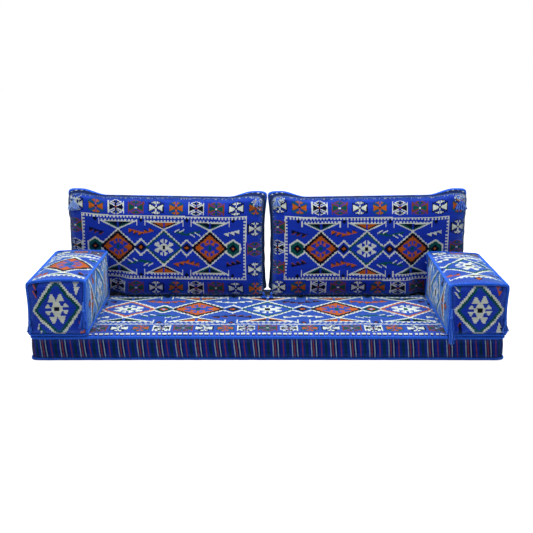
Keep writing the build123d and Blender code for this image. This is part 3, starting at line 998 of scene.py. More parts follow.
class Value:
    """A number in a material's nodes, for plain sums."""

    def __init__(self, graph, socket):
        self.graph, self.socket = graph, socket

    def __rsub__(self, other):
        return self.graph.math("SUBTRACT", other, self)

    __add__, __sub__ = sum_of("ADD"), sum_of("SUBTRACT")
    __mul__, __truediv__, __mod__ = sum_of("MULTIPLY"), sum_of("DIVIDE"), sum_of("MODULO")


class Graph:
    """The nodes of a material or of the world."""

    def __init__(self, owner, shader="Principled BSDF", **settings):
        owner.use_nodes = True
        self.tree = owner.node_tree
        self.shader = self.tree.nodes[shader]
        for name, value in settings.items():
            self.shader.inputs[name.replace("_", " ")].default_value = value

    def join(self, value, socket):
        """Links an output to a socket, or sets the socket to a plain value."""
        value = getattr(value, "socket", value)
        if isinstance(value, bpy.types.NodeSocket):
            self.tree.links.new(value, socket)
        else:
            socket.default_value = value

    def node(self, kind, inputs=(), **settings):
        """A node with its settings and inputs, given by place or by name."""
        node = self.tree.nodes.new(kind)
        for name, value in settings.items():
            setattr(node, name, value)
        pairs = inputs.items() if isinstance(inputs, dict) else enumerate(inputs)
        for place, value in pairs:
            self.join(value, node.inputs[place])
        return node

    def value(self, kind, *inputs, **settings):
        """The first output of a node, as a number."""
        return Value(self, self.node(kind, *inputs, **settings).outputs[0])

    def math(self, operation, *values):
        """A number worked out from others."""
        return self.value("ShaderNodeMath", values, operation=operation)

    def attribute(self, name):
        """A number that the mesh carries."""
        return Value(self, self.node("ShaderNodeAttribute", attribute_name=name).outputs["Fac"])

    def places(self):
        """Where a point lies in the flat cloth, in metres."""
        return self.node("ShaderNodeUVMap", uv_map="weave").outputs[0]

    def along_and_across(self):
        """The two parts of a place in the flat cloth."""
        parts = self.node("ShaderNodeSeparateXYZ", [self.places()]).outputs
        return Value(self, parts[0]), Value(self, parts[1])

    def noise(self, scale, detail=2.0, stretch=(1, 1, 1), vector=None):
        """Smooth noise from 0 to 1."""
        mapping = {"Vector": self.places() if vector is None else vector, "Scale": stretch}
        mapped = self.node("ShaderNodeMapping", mapping).outputs[0]
        return self.value("ShaderNodeTexNoise", {"Vector": mapped, "Scale": scale, "Detail": detail})

    def ramp(self, value, stops, constant=False):
        """A colour ramp. Stops are pairs of a place and a colour."""
        node = self.node("ShaderNodeValToRGB", [value])
        node.color_ramp.interpolation = "CONSTANT" if constant else "LINEAR"
        elements = node.color_ramp.elements
        elements[1].position, elements[1].color = stops[-1]
        elements[0].position, elements[0].color = stops[0]
        for place, colour in stops[1:-1]:
            elements.new(place).color = colour
        return node.outputs[0]

    def blend(self, share, first, second, how="MIX"):
        """Two colours mixed."""
        inputs = {0: share, 6: first, 7: second}
        return self.node("ShaderNodeMix", inputs, data_type="RGBA", blend_type=how).outputs[2]

    def finish(self, colour, height, strength, distance):
        """Sets the surface's colour and relief."""
        self.join(colour, self.shader.inputs["Base Color"])
        inputs = {"Strength": strength, "Distance": distance, "Height": height}
        self.join(self.node("ShaderNodeBump", inputs).outputs[0], self.shader.inputs["Normal"])


def woven_height(graph, warp, weft):
    """Plain weave relief: threads that go over and under in turn."""
    u, v = graph.along_and_across()
    shift = graph.math("FLOOR", v / weft) % 2.0 * 0.5
    thread = graph.math("SINE", (u / warp + shift) * TURN)
    return thread + graph.math("SINE", v / weft * TURN) * 0.6


PIPING_LAY, YARN_LAY = 6.0 * MM, 2.2 * MM  # pitch of the yarn laid round them


def laid_height(graph, pitch):
    """The relief of yarn that is laid round a strand at a slant."""
    u, v = graph.along_and_across()
    return graph.math("SINE", (u / pitch + v * 2.0) * TURN)


def grey(level):
    """A colour without a hue."""
    return (level, level, level, 1)


def vary(graph, colour, amount=0.3):
    """Dye that changes a little from weft to weft and thread to thread."""
    both = graph.noise(9.0, 3.0, (1.0, 9.0, 1.0)) * 0.6 + graph.noise(230.0) * 0.4
    level = graph.ramp(both, [(0.3, grey(1 - amount)), (0.7, grey(1 + amount * 0.6))])
    return graph.blend(1.0, colour, level, "MULTIPLY")


RUB_REACH = 24 * MM  # of the rubbed cloth beside a seam
SEAM_SHADE_START, SEAM_SHADE_END = 2 * MM, 11 * MM  # from a seam, where the painted shade is darkest and where it ends


def wear_and_seam_shade(graph, colour, pale):
    """Rubbed, paler cloth beside the seams, and painted shade that darkens the cloth towards each seam."""
    distance = graph.attribute("seam_distance")
    near = graph.math("MAXIMUM", 1.0 - distance / RUB_REACH, 0.0)
    rubbed = graph.blend(near * (graph.noise(60.0, 4.0) * 0.5), colour, srgb(pale))
    # painted shade: the colour is multiplied darker towards each seam, strongest right beside it
    seam_shade = graph.ramp(distance, [(SEAM_SHADE_START, (0.2, 0.2, 0.24, 1)), (SEAM_SHADE_END, grey(1))])
    return graph.blend(1.0, rubbed, seam_shade, "MULTIPLY")


def new_material(name, **settings):
    """A material's nodes."""
    materials[name] = bpy.data.materials.new(name)
    return Graph(materials[name], **settings)


def fabric(name, roughness=0.85, sheen=0.3, gloss=0.2):
    """A fabric's shader before its colour. Its gloss is that of blue yarn."""
    return new_material(
        name, Roughness=roughness, Sheen_Weight=sheen, Sheen_Roughness=0.42, Sheen_Tint=srgb((140, 206, 255)),
        Specular_IOR_Level=gloss, Specular_Tint=srgb((40, 90, 255)),
    )


KILIM_THREADS = (2.8 * MM, 1.9 * MM)  # pitch of warp and weft
STRIPE_THREADS = (1.7 * MM, 2.6 * MM)


def kilim_material(name, sheen, gloss):
    """The patterned cloth: yarns by number, woven relief, uneven dye, rubbed seams and painted shade along
    them.
    """
    graph = fabric(name, 0.6, sheen, gloss)
    stops = [(yarn / len(PALETTE), srgb(colour)) for yarn, colour in PALETTE.items()]
    colour = vary(graph, graph.ramp(graph.attribute("yarn"), stops, True), 0.38)
    height = woven_height(graph, *KILIM_THREADS) + graph.noise(800.0) * 1.4
    graph.finish(wear_and_seam_shade(graph, colour, PALE["kilim"]), height, strength=0.5, distance=0.35 * MM)


STRIPE_PERIOD = 77 * MM
STRIPE_DYES = {
    "navy": (14, 22, 86), "royal": (18, 38, 128), "white": (138, 160, 172), "rust": (120, 50, 52),
    "green": (12, 42, 66),
}
STRIPES = [
    (3.9, "white"), (4.1, "navy"), (5.2, "rust"), (6.8, "navy"), (3.9, "white"), (7.0, "navy"),
    (9.5, "royal"), (4.4, "rust"), (9.2, "royal"), (12.0, "green"), (11.0, "royal"),
]  # widths in millimetres


def striped_material():
    """The mattress's boxing: narrow stripes across it that lean a little."""
    graph = fabric("striped_border", sheen=0.15)
    u, v = graph.along_and_across()
    shifted = u + v * 0.09 + (graph.noise(7.0) - 0.5) * (9 * MM)
    turn = graph.math("FRACT", (shifted + 20.0) / STRIPE_PERIOD)
    stops, edge = [], 0.0
    for width, dye in STRIPES:
        stops.append((edge * MM / STRIPE_PERIOD, srgb(STRIPE_DYES[dye])))
        edge += width
    colour = wear_and_seam_shade(graph, vary(graph, graph.ramp(turn, stops, True)), PALE["stripes"])
    graph.finish(colour, woven_height(graph, *STRIPE_THREADS), strength=0.5, distance=0.3 * MM)


DOT_PITCH = 25 * MM
DOT_ROW = 21 * MM  # from the middle of the boxing towards its rear edge


def dotted_material():
    """The back cushions' boxing: dark, with a row of pale dots along its rear edge."""
    graph = fabric("dotted_border", sheen=0.05, gloss=0.05)
    u, v = graph.along_and_across()
    a = graph.math("FRACT", (u + 20.0) / DOT_PITCH) - 0.5
    b = (v + DOT_ROW) / (DOT_PITCH * 1.6)
    dots = graph.math("LESS_THAN", graph.math("ABSOLUTE", a) + graph.math("ABSOLUTE", b), 0.25)
    colour = graph.blend(dots, srgb((10, 15, 48)), srgb(PALETTE[WHITE]))
    colour = wear_and_seam_shade(graph, vary(graph, colour), PALE["dots"])
    graph.finish(colour, woven_height(graph, *KILIM_THREADS), strength=0.5, distance=0.35 * MM)


def plain_material(name, colour, pale, thread):
    """Plain cloth of one dye."""
    graph = fabric(name)
    dyed = wear_and_seam_shade(graph, vary(graph, srgb(colour), 0.2), pale)
    graph.finish(dyed, woven_height(graph, thread, thread), strength=0.5, distance=0.25 * MM)


def cord_material():
    """The piping: yarn laid round a strand at a slant."""
    graph = fabric("piping", sheen=0.5)
    lay = laid_height(graph, PIPING_LAY)
    # painted shade and highlight: darker in the grooves of the laid yarn and lighter on its ridges, with
    # random tone from the noise
    shade = lay * 0.18 + graph.noise(90.0, 3.0)
    dark = tuple(part * 0.62 for part in PIPING_BLUE)
    light = tuple(min(part * 1.18 + 12, 255) for part in PIPING_BLUE)
    colour = graph.ramp(shade, [(0.25, srgb(dark)), (0.75, srgb(light))])
    graph.finish(colour, lay, strength=0.6, distance=0.5 * MM)


def yarn_material():
    """Loose yarn, each strand of its own shade, from blue to pale where the cloth has frayed."""
    graph = fabric("tassel_yarn", sheen=0.6)
    stops = [(place, srgb(colour)) for place, colour in TASSEL_SHADES]
    colour = vary(graph, graph.ramp(graph.attribute("tint"), stops), 0.34)
    graph.finish(colour, laid_height(graph, YARN_LAY), strength=0.5, distance=0.25 * MM)


def metal_material():
    """Painted zip metal, rubbed bright in places."""
    graph = new_material("zip_metal", Metallic=0.6, Roughness=0.38)
    place = graph.node("ShaderNodeTexCoord").outputs["Object"]
    rub = graph.noise(500.0, 4.0, vector=place)
    colour = graph.ramp(rub, [(0.55, srgb(METAL_BLUE)), (0.68, srgb((150, 154, 162)))])
    graph.join(rub * 0.3 + 0.22, graph.shader.inputs["Roughness"])
    graph.finish(colour, graph.noise(900.0, vector=place), strength=0.15, distance=0.1 * MM)


# The five cushions

def box_sizes(node):
    """A node's middle and size as arrays."""
    low, high = (np.array(corner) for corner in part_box(node))
    return (low + high) / 2, high - low


SEAT_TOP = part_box("seat_top_panel")[1][2]
UP_AXES = ((1, 0, 0), (0, 1, 0), (0, 0, 1))
STANDING_AXES = ((1, 0, 0), (0, 0, 1), (0, -1, 0))


def seam_of(size, draws, corner, inset=0.0):
    """The seam under a piping of this size, with its draws in millimetres."""
    width, height = (length - 2 * PIPE_REACH - inset for length in size)
    return Seam(width, height, tuple(draw * MM for draw in draws), corner * MM)


def seat_form():
    """The mattress."""
    low, size = box_sizes("seat_piping_bottom")
    high, _ = box_sizes("seat_piping_top")
    seam = seam_of(size[:2], draws=(5, 4, 0, 4), corner=26)
    return Form(
        name="seat", origin=(0, 0, low[2]), axes=UP_AXES, rear=seam, front=seam, depth=high[2] - low[2],
        bulges=(9 * MM, 8 * MM, 0.0, 8 * MM), crowns=(low[2], SEAT_TOP - high[2]),
        shoulders=(60 * MM, 60 * MM), bows=(2, 2, 2, 2), cells=(84, 31, 4),
    )


FRONT_INSET = 14 * MM  # how much smaller the front seam of a back cushion is than its rear seam
BACK_RISE = 7 * MM  # of the outer end of its upper edge, and fall of the inner end


def back_form(side):
    """A back cushion."""
    middle, size = box_sizes(f"{side}_back_piping")
    front_low, front_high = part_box(f"{side}_back_front_panel")
    rear_low, rear_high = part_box(f"{side}_back_rear_panel")
    rear = seam_of(size[::2], draws=(5, 14, 46, 14), corner=15)
    front = seam_of(size[::2], draws=(4, 9, 21, 9), corner=34, inset=FRONT_INSET)
    foot = (rear.draws[0] + front.draws[0] + FRONT_INSET / 2) / 2 + PIPE_REACH
    ends = (-BACK_RISE * SIDES[side], BACK_RISE * SIDES[side])
    return Form(
        name=f"{side}_back", origin=(middle[0], rear_low[1], middle[2]), axes=STANDING_AXES, rear=rear,
        front=front, depth=rear_low[1] - front_high[1], bulges=(foot, 7 * MM, 4 * MM, 7 * MM),
        crowns=(rear_high[1] - rear_low[1], front_high[1] - front_low[1]), shoulders=(55 * MM, 170 * MM),
        bows=(2, 3, 10, 3), cells=(60, 32, 5), slump=58 * MM, ear=0.6, rise=(ends, ends),
    )


ARM_PUFFS = {"left": (5, 11), "right": (4, 9)}  # of the upper edge, at the rear and the front
ARM_RISES = {
    "left": ((3 * MM, 5 * MM), (9 * MM, 19 * MM)),
    "right": ((0, -9 * MM), (0, 0)),
}


def arm_form(side):
    """An arm cushion."""
    middle, size = box_sizes(f"{side}_arm_end_piping")
    front_low, front_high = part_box(f"{side}_arm_front_panel")
    rear_low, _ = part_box(f"{side}_arm_rear_panel")
    rear, front = (seam_of(size[::2], draws=(0, 7, 3 - puff, 7), corner=12) for puff in ARM_PUFFS[side])
    return Form(
        name=f"{side}_arm", origin=(middle[0], rear_low[1], middle[2]), axes=STANDING_AXES, rear=rear,
        front=front, depth=rear_low[1] - front_high[1], bulges=(PIPE_REACH, 12 * MM, 9 * MM, 12 * MM),
        crowns=(front_high[1] - front_low[1],) * 2, shoulders=(55 * MM, 55 * MM), bows=(2, 2, 2, 2),
        cells=(16, 14, 36), rise=ARM_RISES[side],
    )


def main_cushion(form, seed, charts, covers, parts, pipings, limit):
    """One cushion: cover, simulated swell, subdivision, gathers, yarns, materials and piping."""
    nodes = [f"{form.name}_{part}" for part in parts]
    piece = new_piece(f"{form.name}_cushion", cushion_mesh(form), form.name, nodes)
    seam = crease_seams(piece.data)
    inflate(piece, seam)
    subdivide(piece)
    mesh = piece.data
    pucker(mesh, seed)
    write_points(mesh, limit(read_points(mesh)))
    yarn = weave_yarns(mesh, charts)
    lay_out_panels(mesh)
    runs = seam_runs(mesh)
    paint_panels(mesh, covers, yarn)
    mesh.shade_smooth()
    return [piece] + [piping_piece(f"{form.name}_{part}", form.name, runs, *how) for part, *how in pipings]


def seam_runs(mesh):
    """All seams of a cushion as lines with their outward directions."""
    points, out = read_points(mesh), normals(mesh)
    wanted = {"rear": (REAR, WALLS), "front": (FRONT, WALLS)}
    for number, wall in enumerate(WALLS):
        wanted[f"edge{number}"] = (wall, (WALLS[(number + 1) % 4],))
    runs = {}
    for name, (first, others) in wanted.items():
        run, closed = seam_run(mesh, first, others)
        runs[name] = (smooth_run(points[run], closed, 2), smooth_run(out[run], closed, 4), closed)
    return runs


def paint_panels(mesh, covers, yarn):
    """Turns panel numbers into material numbers. The kilim's ground yarn is glossier than its other yarns."""
    names = [*dict.fromkeys(covers.values()), "kilim_ground"]
    for name in names:
        mesh.materials.append(materials[name])
    table = np.array([names.index(covers[panel]) for panel in range(6)])
    chosen = table[face_panels(mesh)]
    chosen[(chosen == names.index("kilim")) & (yarn == GROUND)] = names.index("kilim_ground")
    mesh.polygons.foreach_set("material_index", chosen.astype(np.int32))


PIPE_WANDER, WANDER_PITCH = 0.06, 60 * MM  # of its stand, and the length of one swing
PIPE_SWELL, SWELL_PITCH = 0.05, 28 * MM  # of its radius


def piping_piece(name, body, runs, chosen, seed, fuller=0.0):
    """The piping of a cushion along some of its seams, fuller towards the top."""
    tubes = Tubes(PIPE_SIDES)
    for number, key in enumerate(chosen):
        line, out, closed = runs[key]
        out = out / np.linalg.norm(out, axis=1, keepdims=True)
        wander = 1 + PIPE_WANDER * ripple(line, WANDER_PITCH, seed + number)
        middle = line + out * (PIPE_STAND * wander)[:, None]
        low, high = line[:, 2].min(), line[:, 2].max()
        share = np.clip(2 * (line[:, 2] - low) / max(high - low, MM) - 1, 0, 1)
        swell = 1 + PIPE_SWELL * ripple(line, SWELL_PITCH, seed + 20 + number)
        tubes.add(middle, PIPE_RADIUS * swell + fuller * share, closed, out, rows=8 if closed else 3)
    return new_piece(name, tubes.mesh(name), body, [name], "piping")


SEAT = seat_form()
BACKS = {side: back_form(side) for side in SIDES}
ARMS = {side: arm_form(side) for side in SIDES}


LOAD_MARGIN = 12 * MM  # of the mattress that is pressed flat, beyond the cushions on it
PAIR_CLEAR = 0.5 * MM  # of each back cushion from the middle
BACK_SEEDS, ARM_SEEDS = {"right": 50, "left": 70}, {"right": 90, "left": 110}
EDGES = [f"edge{number}" for number in range(4)]


def fine_cells(form, a, b):
    """Cells of the final mesh along two of the form's axes."""
    return form.cells[a] * SPLITS, form.cells[b] * SPLITS


def front_size(form):
    """The front panel's width, height and cells."""
    return form.front.width, form.front.height, fine_cells(form, 0, 1)


def covers_of(walls):
    """A kilim front, a plain rear and one cloth round the walls."""
    return {FRONT: "kilim", REAR: "plain_backing", **dict.fromkeys(WALLS, walls)}


def make_seat():
    """The mattress with its piping."""
    behind = min(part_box(f"{side}_back_front_panel")[0][1] for side in SIDES) - LOAD_MARGIN
    inner = min(abs(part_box("right_arm_core")[0][0]), abs(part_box("left_arm_core")[1][0])) - LOAD_MARGIN
    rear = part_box("seat_boxing")[1][1] - TAPE_THICKNESS

    def limit(points):
        """Flat under the other cushions, on the floor and under the zip's tape."""
        x, y, z = points.T
        loaded = (y > behind) | (np.abs(x) > inner)
        z = np.clip(z, 0, np.where(loaded, SEAT_TOP, np.inf))
        return np.stack([x, np.minimum(y, rear), z], 1)

    parts = ["core", "base_panel", "boxing", "top_panel"]
    pipings = [("piping_bottom", ["rear"], 40), ("piping_top", ["front"], 40)]
    charts = {FRONT: seat_chart(*front_size(SEAT))}
    return main_cushion(SEAT, 3, charts, covers_of("striped_border"), parts, pipings, limit)


def make_back(side):
    """A back cushion with its piping."""
    form = BACKS[side]
    low = [-np.inf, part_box(f"{side}_back_front_panel")[0][1] - form.slump, SEAT_TOP + REST_GAP]
    high = [np.inf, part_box(f"{side}_back_rear_panel")[1][1] - TAPE_THICKNESS, np.inf]
    (low if side == "right" else high)[0] = SIDES[side] * PAIR_CLEAR
    parts = ["core", "rear_panel", "boxing", "front_panel"]
    seed = BACK_SEEDS[side]
    pipings = [("piping", ["rear"], seed, 2.8 * MM)]
    charts = {FRONT: back_chart(*front_size(form), side)}
    covers = covers_of("dotted_border")
    return main_cushion(form, seed, charts, covers, parts, pipings, lambda points: np.clip(points, low, high))


def make_arm(side):
    """An arm cushion with its piping."""
    form = ARMS[side]
    outer = max(abs(end[0]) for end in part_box(f"{side}_arm_outer_side_panel")) - TAPE_THICKNESS
    low = (-outer, -np.inf, SEAT_TOP + REST_GAP)
    high = (outer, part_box(f"{side}_arm_rear_panel")[1][1], np.inf)
    end_chart = arm_end_chart(*front_size(form), ARM_BITS[side], *ARM_END_PLACE[side])
    charts = {FRONT: end_chart, REAR: end_chart}
    inner_wall, outer_wall = (RIGHT, LEFT) if side == "left" else (LEFT, RIGHT)
    sides = {TOP: ARM_TOP_KINDS[side], inner_wall: ARM_INNER_KINDS, outer_wall: ARM_OUTER_KINDS}
    for panel, kinds in sides.items():
        place, across, axis = (ARM_WALL_MIDDLE, ARM_WALL_SCALE), form.rear.height, 1
        if panel == TOP:
            place = (ARM_TOP_MIDDLE[side], ARM_TOP_SCALE, ARM_TOP_BASE, ARM_TOP_SHIFT[side])
            across, axis = form.rear.width, 0
        chart = arm_side_chart(across, form.depth, fine_cells(form, axis, 2), *kinds, *place)
        chart.yarn = chart.yarn[::-1]
        charts[panel] = chart
    walls = ("front", "rear", "top", "bottom", "inner_side", "outer_side")
    parts = ["core", *(f"{wall}_panel" for wall in walls)]
    covers = {**dict.fromkeys((REAR, FRONT, RIGHT, TOP, LEFT), "kilim"), BOTTOM: "plain_backing"}
    seed = ARM_SEEDS[side]
    pipings = [("end_piping", ["rear", "front"], seed + 1), ("edge_piping", EDGES, seed + 2)]
    return main_cushion(form, seed, charts, covers, parts, pipings, lambda points: np.clip(points, low, high))


# Tassels

class Tassel(NamedTuple):
    """A yarn tassel, in metres."""

    root: tuple  # where its cord leaves the cushion
    cord: float
    skirt: float
    spread: float  # half width of the hem
    lean: tuple  # which way the skirt is drawn as it falls
    strands: int
    pale: float  # share of pale strands


HEAD = 9 * MM  # height of a tassel's bound head
HEAD_RADIUS = 3.6 * MM
STRAND_RADIUS = 1.4 * MM
STRAND_POINTS = 9
STRAND_CLEAR = STRAND_RADIUS + 0.6 * MM  # from the cushions
STRAND_LENGTHS = (0.72, 1.04)  # shortest and longest, as shares of the skirt
STRAND_WAVE = 1.4 * MM
STRAND_FLOOR = 2 * MM  # lowest place of a strand's middle
CORD_RADIUS, CORD_LAY = 2.0 * MM, 1.6 * MM
CORD_POINTS, CORD_TWIST = 8, 9  # the twist in radians
BAND_RADIUS, BAND_POINTS = 1.25 * MM, 12
HEAD_SHARES = (1.0, 1.25, 1.3, 1.1, 0.85)  # of its radius, from the top down
BAND_TINT = 0.42


def circle(angles, radius):
    """Level places round a middle."""
    return np.stack([np.cos(angles), np.sin(angles), 0 * angles], 1) * radius


def clear_of(points, trees, radius):
    """Points moved out of the cushions that they would sink into."""
    for number, point in enumerate(points):
        for tree in trees:
            place, normal, _, distance = tree.find_nearest(Vector(point))
            away = Vector(point) - place
            if away.dot(normal) < 0:
                points[number] = point = np.array(place + normal * radius)
            elif distance < radius:
                points[number] = point = np.array(place + away.normalized() * radius)
    return points


def surface_tree(piece):
    """A piece's surface, to find the nearest place on it."""
    mesh = piece.data
    return BVHTree.FromPolygons([v.co for v in mesh.vertices], [p.vertices for p in mesh.polygons])


def add_tassel(tubes, tassel, trees):
    """One tassel: its cord, its bound head and its loose strands."""
    root = np.array(tassel.root)
    head = root - (0, 0, tassel.cord)
    for turn in (0, math.pi):
        share = np.linspace(0, 1, CORD_POINTS)
        wind = circle(turn + share * CORD_TWIST, CORD_LAY)
        tubes.add(mix(root, head, share[:, None]) + wind, CORD_RADIUS, tint=BAND_TINT)
    around = np.linspace(0, TURN, BAND_POINTS + 1)[:-1]
    for ring, share in enumerate(HEAD_SHARES):
        band = head - (0, 0, HEAD * ring / 4) + circle(around, HEAD_RADIUS * share)
        upward = np.tile([0.0, 0.0, 1.0], (BAND_POINTS, 1))
        tubes.add(band, BAND_RADIUS, closed=True, out=upward, tint=BAND_TINT)
    share = np.linspace(0, 1, STRAND_POINTS)
    for _ in range(tassel.strands):
        angle, reach = random.uniform(0, TURN), math.sqrt(random.uniform())
        side = np.array([math.cos(angle), 0.4 * math.sin(angle), 0]) * reach
        length = tassel.skirt * random.uniform(*STRAND_LENGTHS)
        wave = random.normal(size=(2, 2)) * STRAND_WAVE
        sway = sum(wave[k][:, None] * np.sin((k + 1) * 2.6 * share + angle) for k in range(2)).T
        line = head - (0, 0, HEAD) + side * HEAD_RADIUS * 0.8
        line = line + side * tassel.spread * (share[:, None] ** 0.8) - np.outer(share * length, (0, 0, 1))
        line += np.outer(share ** 1.5, np.array([*tassel.lean, 0]))
        line[:, :2] += sway * share[:, None]
        line[:, 2] = np.maximum(line[:, 2], STRAND_FLOOR)
        clump = 0.25 + 0.25 * math.sin(7 * angle)
        if random.uniform() < tassel.pale:
            tint = random.uniform(0.75, 1.0)
        else:
            tint = 0.7 * clump + random.uniform(0, 0.15)
        tubes.add(clear_of(line, trees, STRAND_CLEAR), STRAND_RADIUS, tint=tint)


def tassel_piece(form, tassels, trees):
    """All tassels of one cushion as one piece."""
    tubes = Tubes(5)
    for tassel in tassels:
        add_tassel(tubes, tassel, trees)
    name = f"{form.name}_tassels"
    new_piece(name, tubes.mesh(name), form.name, [name], "tassel_yarn")


BACK_PALE = {"right": (0.25, 0.4), "left": (0.6, 0.4)}  # outer and inner upper tassel


def back_tassels(side, trees):
    """Two at the upper corners of the front panel and one at the inner foot."""
    form, sign = BACKS[side], SIDES[side]
    x, y, z = form.origin
    front = y - form.depth
    across, half = form.rear.width / 2 - 36 * MM, form.rear.height / 2
    outer = (x + sign * across, front - 4 * MM, z + half - 30 * MM)
    inner = (x - sign * across, front - 4 * MM, z + half - 30 * MM)
    foot = (x - sign * (across + 26 * MM), front - form.slump - 6 * MM, z - half + 24 * MM)
    outer_pale, inner_pale = BACK_PALE[side]
    tassel_piece(form, [
        Tassel(outer, 4 * MM, 42 * MM, 30 * MM, (0, 0), 64, outer_pale),
        Tassel(inner, 4 * MM, 26 * MM, 16 * MM, (0, 0), 40, inner_pale),
        Tassel(foot, 2 * MM, 26 * MM, 9 * MM, (0, -14 * MM), 26, 0.0),
    ], trees)


ARM_SKIRTS = {"right": (104 * MM, 112 * MM), "left": (76 * MM, 140 * MM)}  # length, and height of the root


def arm_tassels(side, trees):
    """A long one at the inner end of the front seam and a short one at its outer end."""
    form, sign = ARMS[side], SIDES[side]
    x, y, z = form.origin
    front, foot = y - form.depth - 16 * MM, z - form.rear.height / 2
    reach = form.rear.width / 2 + 2 * MM
    skirt, rise = ARM_SKIRTS[side]
    inner = (x - sign * (reach - 10 * MM), front - 6 * MM, foot + rise)
    outer = (x + sign * (reach - 8 * MM), front + 4 * MM, foot + 62 * MM)
    tassel_piece(form, [
        Tassel(inner, 30 * MM, skirt, 13 * MM, (sign * 6 * MM, 0), 60, 0.03),
        Tassel(outer, 6 * MM, 36 * MM, 12 * MM, (0, 0), 44, 0.1),
    ], trees)


# Zips

TOOTH_PITCH = 3.2 * MM
STITCH_PITCH = 6.0 * MM
TAPE_THICKNESS = 1.2 * MM
CHAIN_WIDTH = 6 * MM
TAPE_GAP = 2.4 * MM  # between the two tapes, under the chain
STITCH_EDGE = 2.4 * MM  # from the outer edges of the tapes
TEETH_INSET, STITCH_INSET = 16 * MM, 8 * MM  # of the length, both ends together
BLOCK_SHARE = 0.62  # of a pitch that its block fills


def blocks(name, middles, size, axes, taper):
    """Many small blocks as one mesh, each narrower on its outer side."""
    corners = np.array([(x, y, z) for z in (-1, 1) for y in (-1, 1) for x in (-1, 1)], float)
    corners[4:, :2] *= taper
    shape = np.asarray(middles)[:, None] + corners * np.array(size) / 2
    points = shape @ np.array(axes, float)
    sides = [(0, 2, 3, 1), (4, 5, 7, 6), (0, 1, 5, 4), (2, 6, 7, 3), (0, 4, 6, 2), (1, 3, 7, 5)]
    faces = (np.arange(len(points))[:, None, None] * 8 + np.array(sides)).reshape(-1, 4)
    mesh = bpy.data.meshes.new(name)
    mesh.from_pydata(points.reshape(-1, 3).tolist(), [], faces.tolist())
    add_uv(mesh, "weave", shape[..., :2].reshape(-1, 2)[faces.ravel()])
    return mesh


def add_zip(name, along, out):
    """One zip: two woven tapes sewn down, a chain of teeth and its end stops."""
    node = f"{name}_zip"
    middle, size = box_sizes(node)
    along, out = np.array(along, float), np.array(out, float)
    axes = [along, np.cross(out, along), out]
    base = np.array([middle @ axis for axis in axes])
    length, width = (abs(size @ axis) for axis in axes[:2])
    tape_width = (width - TAPE_GAP) / 2
    teeth = int((length - TEETH_INSET) / TOOTH_PITCH)
    rows = int((length - STITCH_INSET) / STITCH_PITCH)
    parts = {
        "tape": (
            [(0, side * (width - tape_width) / 2, -TAPE_THICKNESS / 2) for side in (-1, 1)],
            (length, tape_width, TAPE_THICKNESS), 1.0, "zip_tape", "zip_tape",
        ),
        "teeth": (
            [((n - teeth) / 2 * TOOTH_PITCH, (n % 2 * 2 - 1) * 1.2 * MM, 1.1 * MM) for n in range(2 * teeth)],
            (TOOTH_PITCH * BLOCK_SHARE, CHAIN_WIDTH * BLOCK_SHARE, 2.2 * MM), 0.72, "zip_metal", "zip_metal",
        ),
        "stops": (
            [(end * (length / 2 - 4 * MM), 0, 1.4 * MM) for end in (-1, 1)],
            (6 * MM, CHAIN_WIDTH, 2.8 * MM), 0.7, "zip_metal", "zip_metal",
        ),
        "stitches": (
            [
                ((n - (rows - 1) / 2) * STITCH_PITCH, side * (width / 2 - STITCH_EDGE), 0.2 * MM)
                for n in range(rows) for side in (-1, 1)
            ],
            (STITCH_PITCH * BLOCK_SHARE, 0.8 * MM, 0.8 * MM), 0.6, "zip_tape", "thread",
        ),
    }
    for part, (places, block, taper, slot, material) in parts.items():
        mesh = blocks(f"{node}_{part}", base + places, block, axes, taper)
        new_piece(f"{node}_{part}", mesh, name, [node] if part == "tape" else [], material)


# Surroundings

def light(name, place, size, energy, tilt, colour):
    """A soft rectangular lamp."""
    lamp = bpy.data.lights.new(name, "AREA")
    lamp.shape = "RECTANGLE"
    lamp.size, lamp.size_y = size
    lamp.energy, lamp.color = energy, colour
    place_object(name, lamp, place, (math.radians(tilt), 0, 0))


def seen_ray(graph):
    """1 for rays that show the background: straight from the camera, mirrored or through glass."""
    rays = graph.node("ShaderNodeLightPath").outputs
    seen = graph.math("MAXIMUM", rays["Is Camera Ray"], rays["Is Glossy Ray"])
    return graph.math("MAXIMUM", seen, rays["Is Transmission Ray"])


FLOOR_REACH = 14.0
FLOOR_DROP = 0.5 * MM
FLOOR_GLOW = 0.97


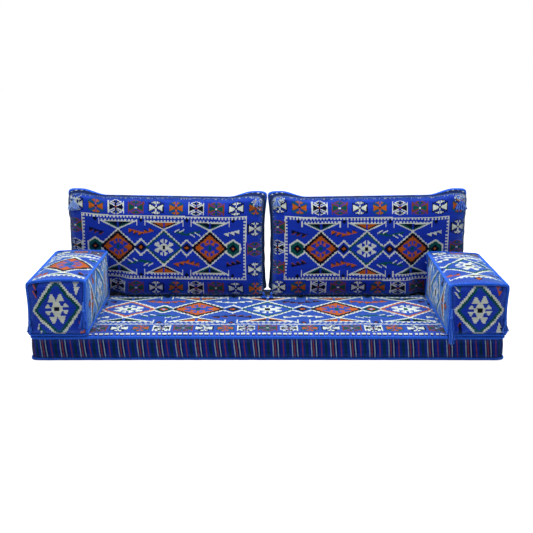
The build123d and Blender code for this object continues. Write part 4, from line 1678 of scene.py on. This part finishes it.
def make_floor():
    """A pale floor that shows white and keeps a soft shadow."""
    mesh = bpy.data.meshes.new("floor")
    corners = [(x * FLOOR_REACH, y * FLOOR_REACH, 0) for x, y in ((-1, -1), (1, -1), (1, 1), (-1, 1))]
    mesh.from_pydata(corners, [], [(0, 1, 2, 3)])
    floor = place_object("floor", mesh, (0, 0, -FLOOR_DROP))
    graph = new_material("floor", Roughness=0.9, Base_Color=grey(0.34), Specular_IOR_Level=0.0)
    glow = graph.value("ShaderNodeEmission", {"Color": grey(1), "Strength": FLOOR_GLOW})
    both = graph.value("ShaderNodeAddShader", [graph.shader.outputs[0], glow])
    plain = graph.value("ShaderNodeBsdfDiffuse", {"Color": grey(0.8)})
    chosen = graph.value("ShaderNodeMixShader", [seen_ray(graph), plain, both])
    graph.join(chosen, graph.tree.nodes["Material Output"].inputs[0])
    mesh.materials.append(materials["floor"])


def make_world():
    """Even studio light all round, white where the camera sees it."""
    world = bpy.data.worlds.new("studio")
    bpy.context.scene.world = world
    graph = Graph(world, "Background", Color=grey(1))
    strength = graph.value("ShaderNodeMapRange", {"Value": seen_ray(graph), "To Min": 0.12, "To Max": 1.0})
    graph.join(strength, graph.shader.inputs["Strength"])


def make_camera():
    """The photograph's view."""
    camera = bpy.data.cameras.new("camera")
    camera.sensor_width = SENSOR
    camera.lens = FOCAL_PIXELS / IMAGE_SIZE * SENSOR
    holder = place_object("camera", camera, CAMERA_PLACE, (math.pi / 2 - CAMERA_TILT, 0, 0))
    bpy.context.scene.camera = holder


bpy.context.scene.view_settings.view_transform = "Standard"
make_camera()
make_world()
make_floor()
light("overhead", (0, 0.2, 2.6), size=(4.2, 1.8), energy=158, tilt=0, colour=(0.86, 0.94, 1.0))
light("front", (0, -3.6, 2.2), size=(3.0, 1.4), energy=7, tilt=58, colour=(1, 1, 1))

kilim_material("kilim", sheen=0.15, gloss=0.1)
kilim_material("kilim_ground", sheen=1.0, gloss=0.8)
striped_material()
dotted_material()
plain_material("plain_backing", BACKING_BLUE, pale=(60, 84, 170), thread=1.8 * MM)
cord_material()
yarn_material()
plain_material("zip_tape", TAPE_BLUE, pale=(40, 60, 130), thread=1.2 * MM)
plain_material("thread", THREAD_BLUE, pale=(90, 110, 170), thread=1.2 * MM)
metal_material()

seat_trees = [surface_tree(piece) for piece in make_seat()]
for side in SIDES:
    back_tassels(side, [surface_tree(piece) for piece in make_back(side)] + seat_trees)
    arm_tassels(side, [surface_tree(piece) for piece in make_arm(side)] + seat_trees)
    add_zip(f"{side}_back", (1, 0, 0), (0, 1, 0))
    add_zip(f"{side}_arm", (0, 1, 0), (SIDES[side], 0, 0))
add_zip("seat", (1, 0, 0), (0, 1, 0))

for name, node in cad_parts.items():
    if name.endswith(("slider", "pull")):
        node.data.materials.clear()
        node.data.materials.append(materials["zip_metal"])
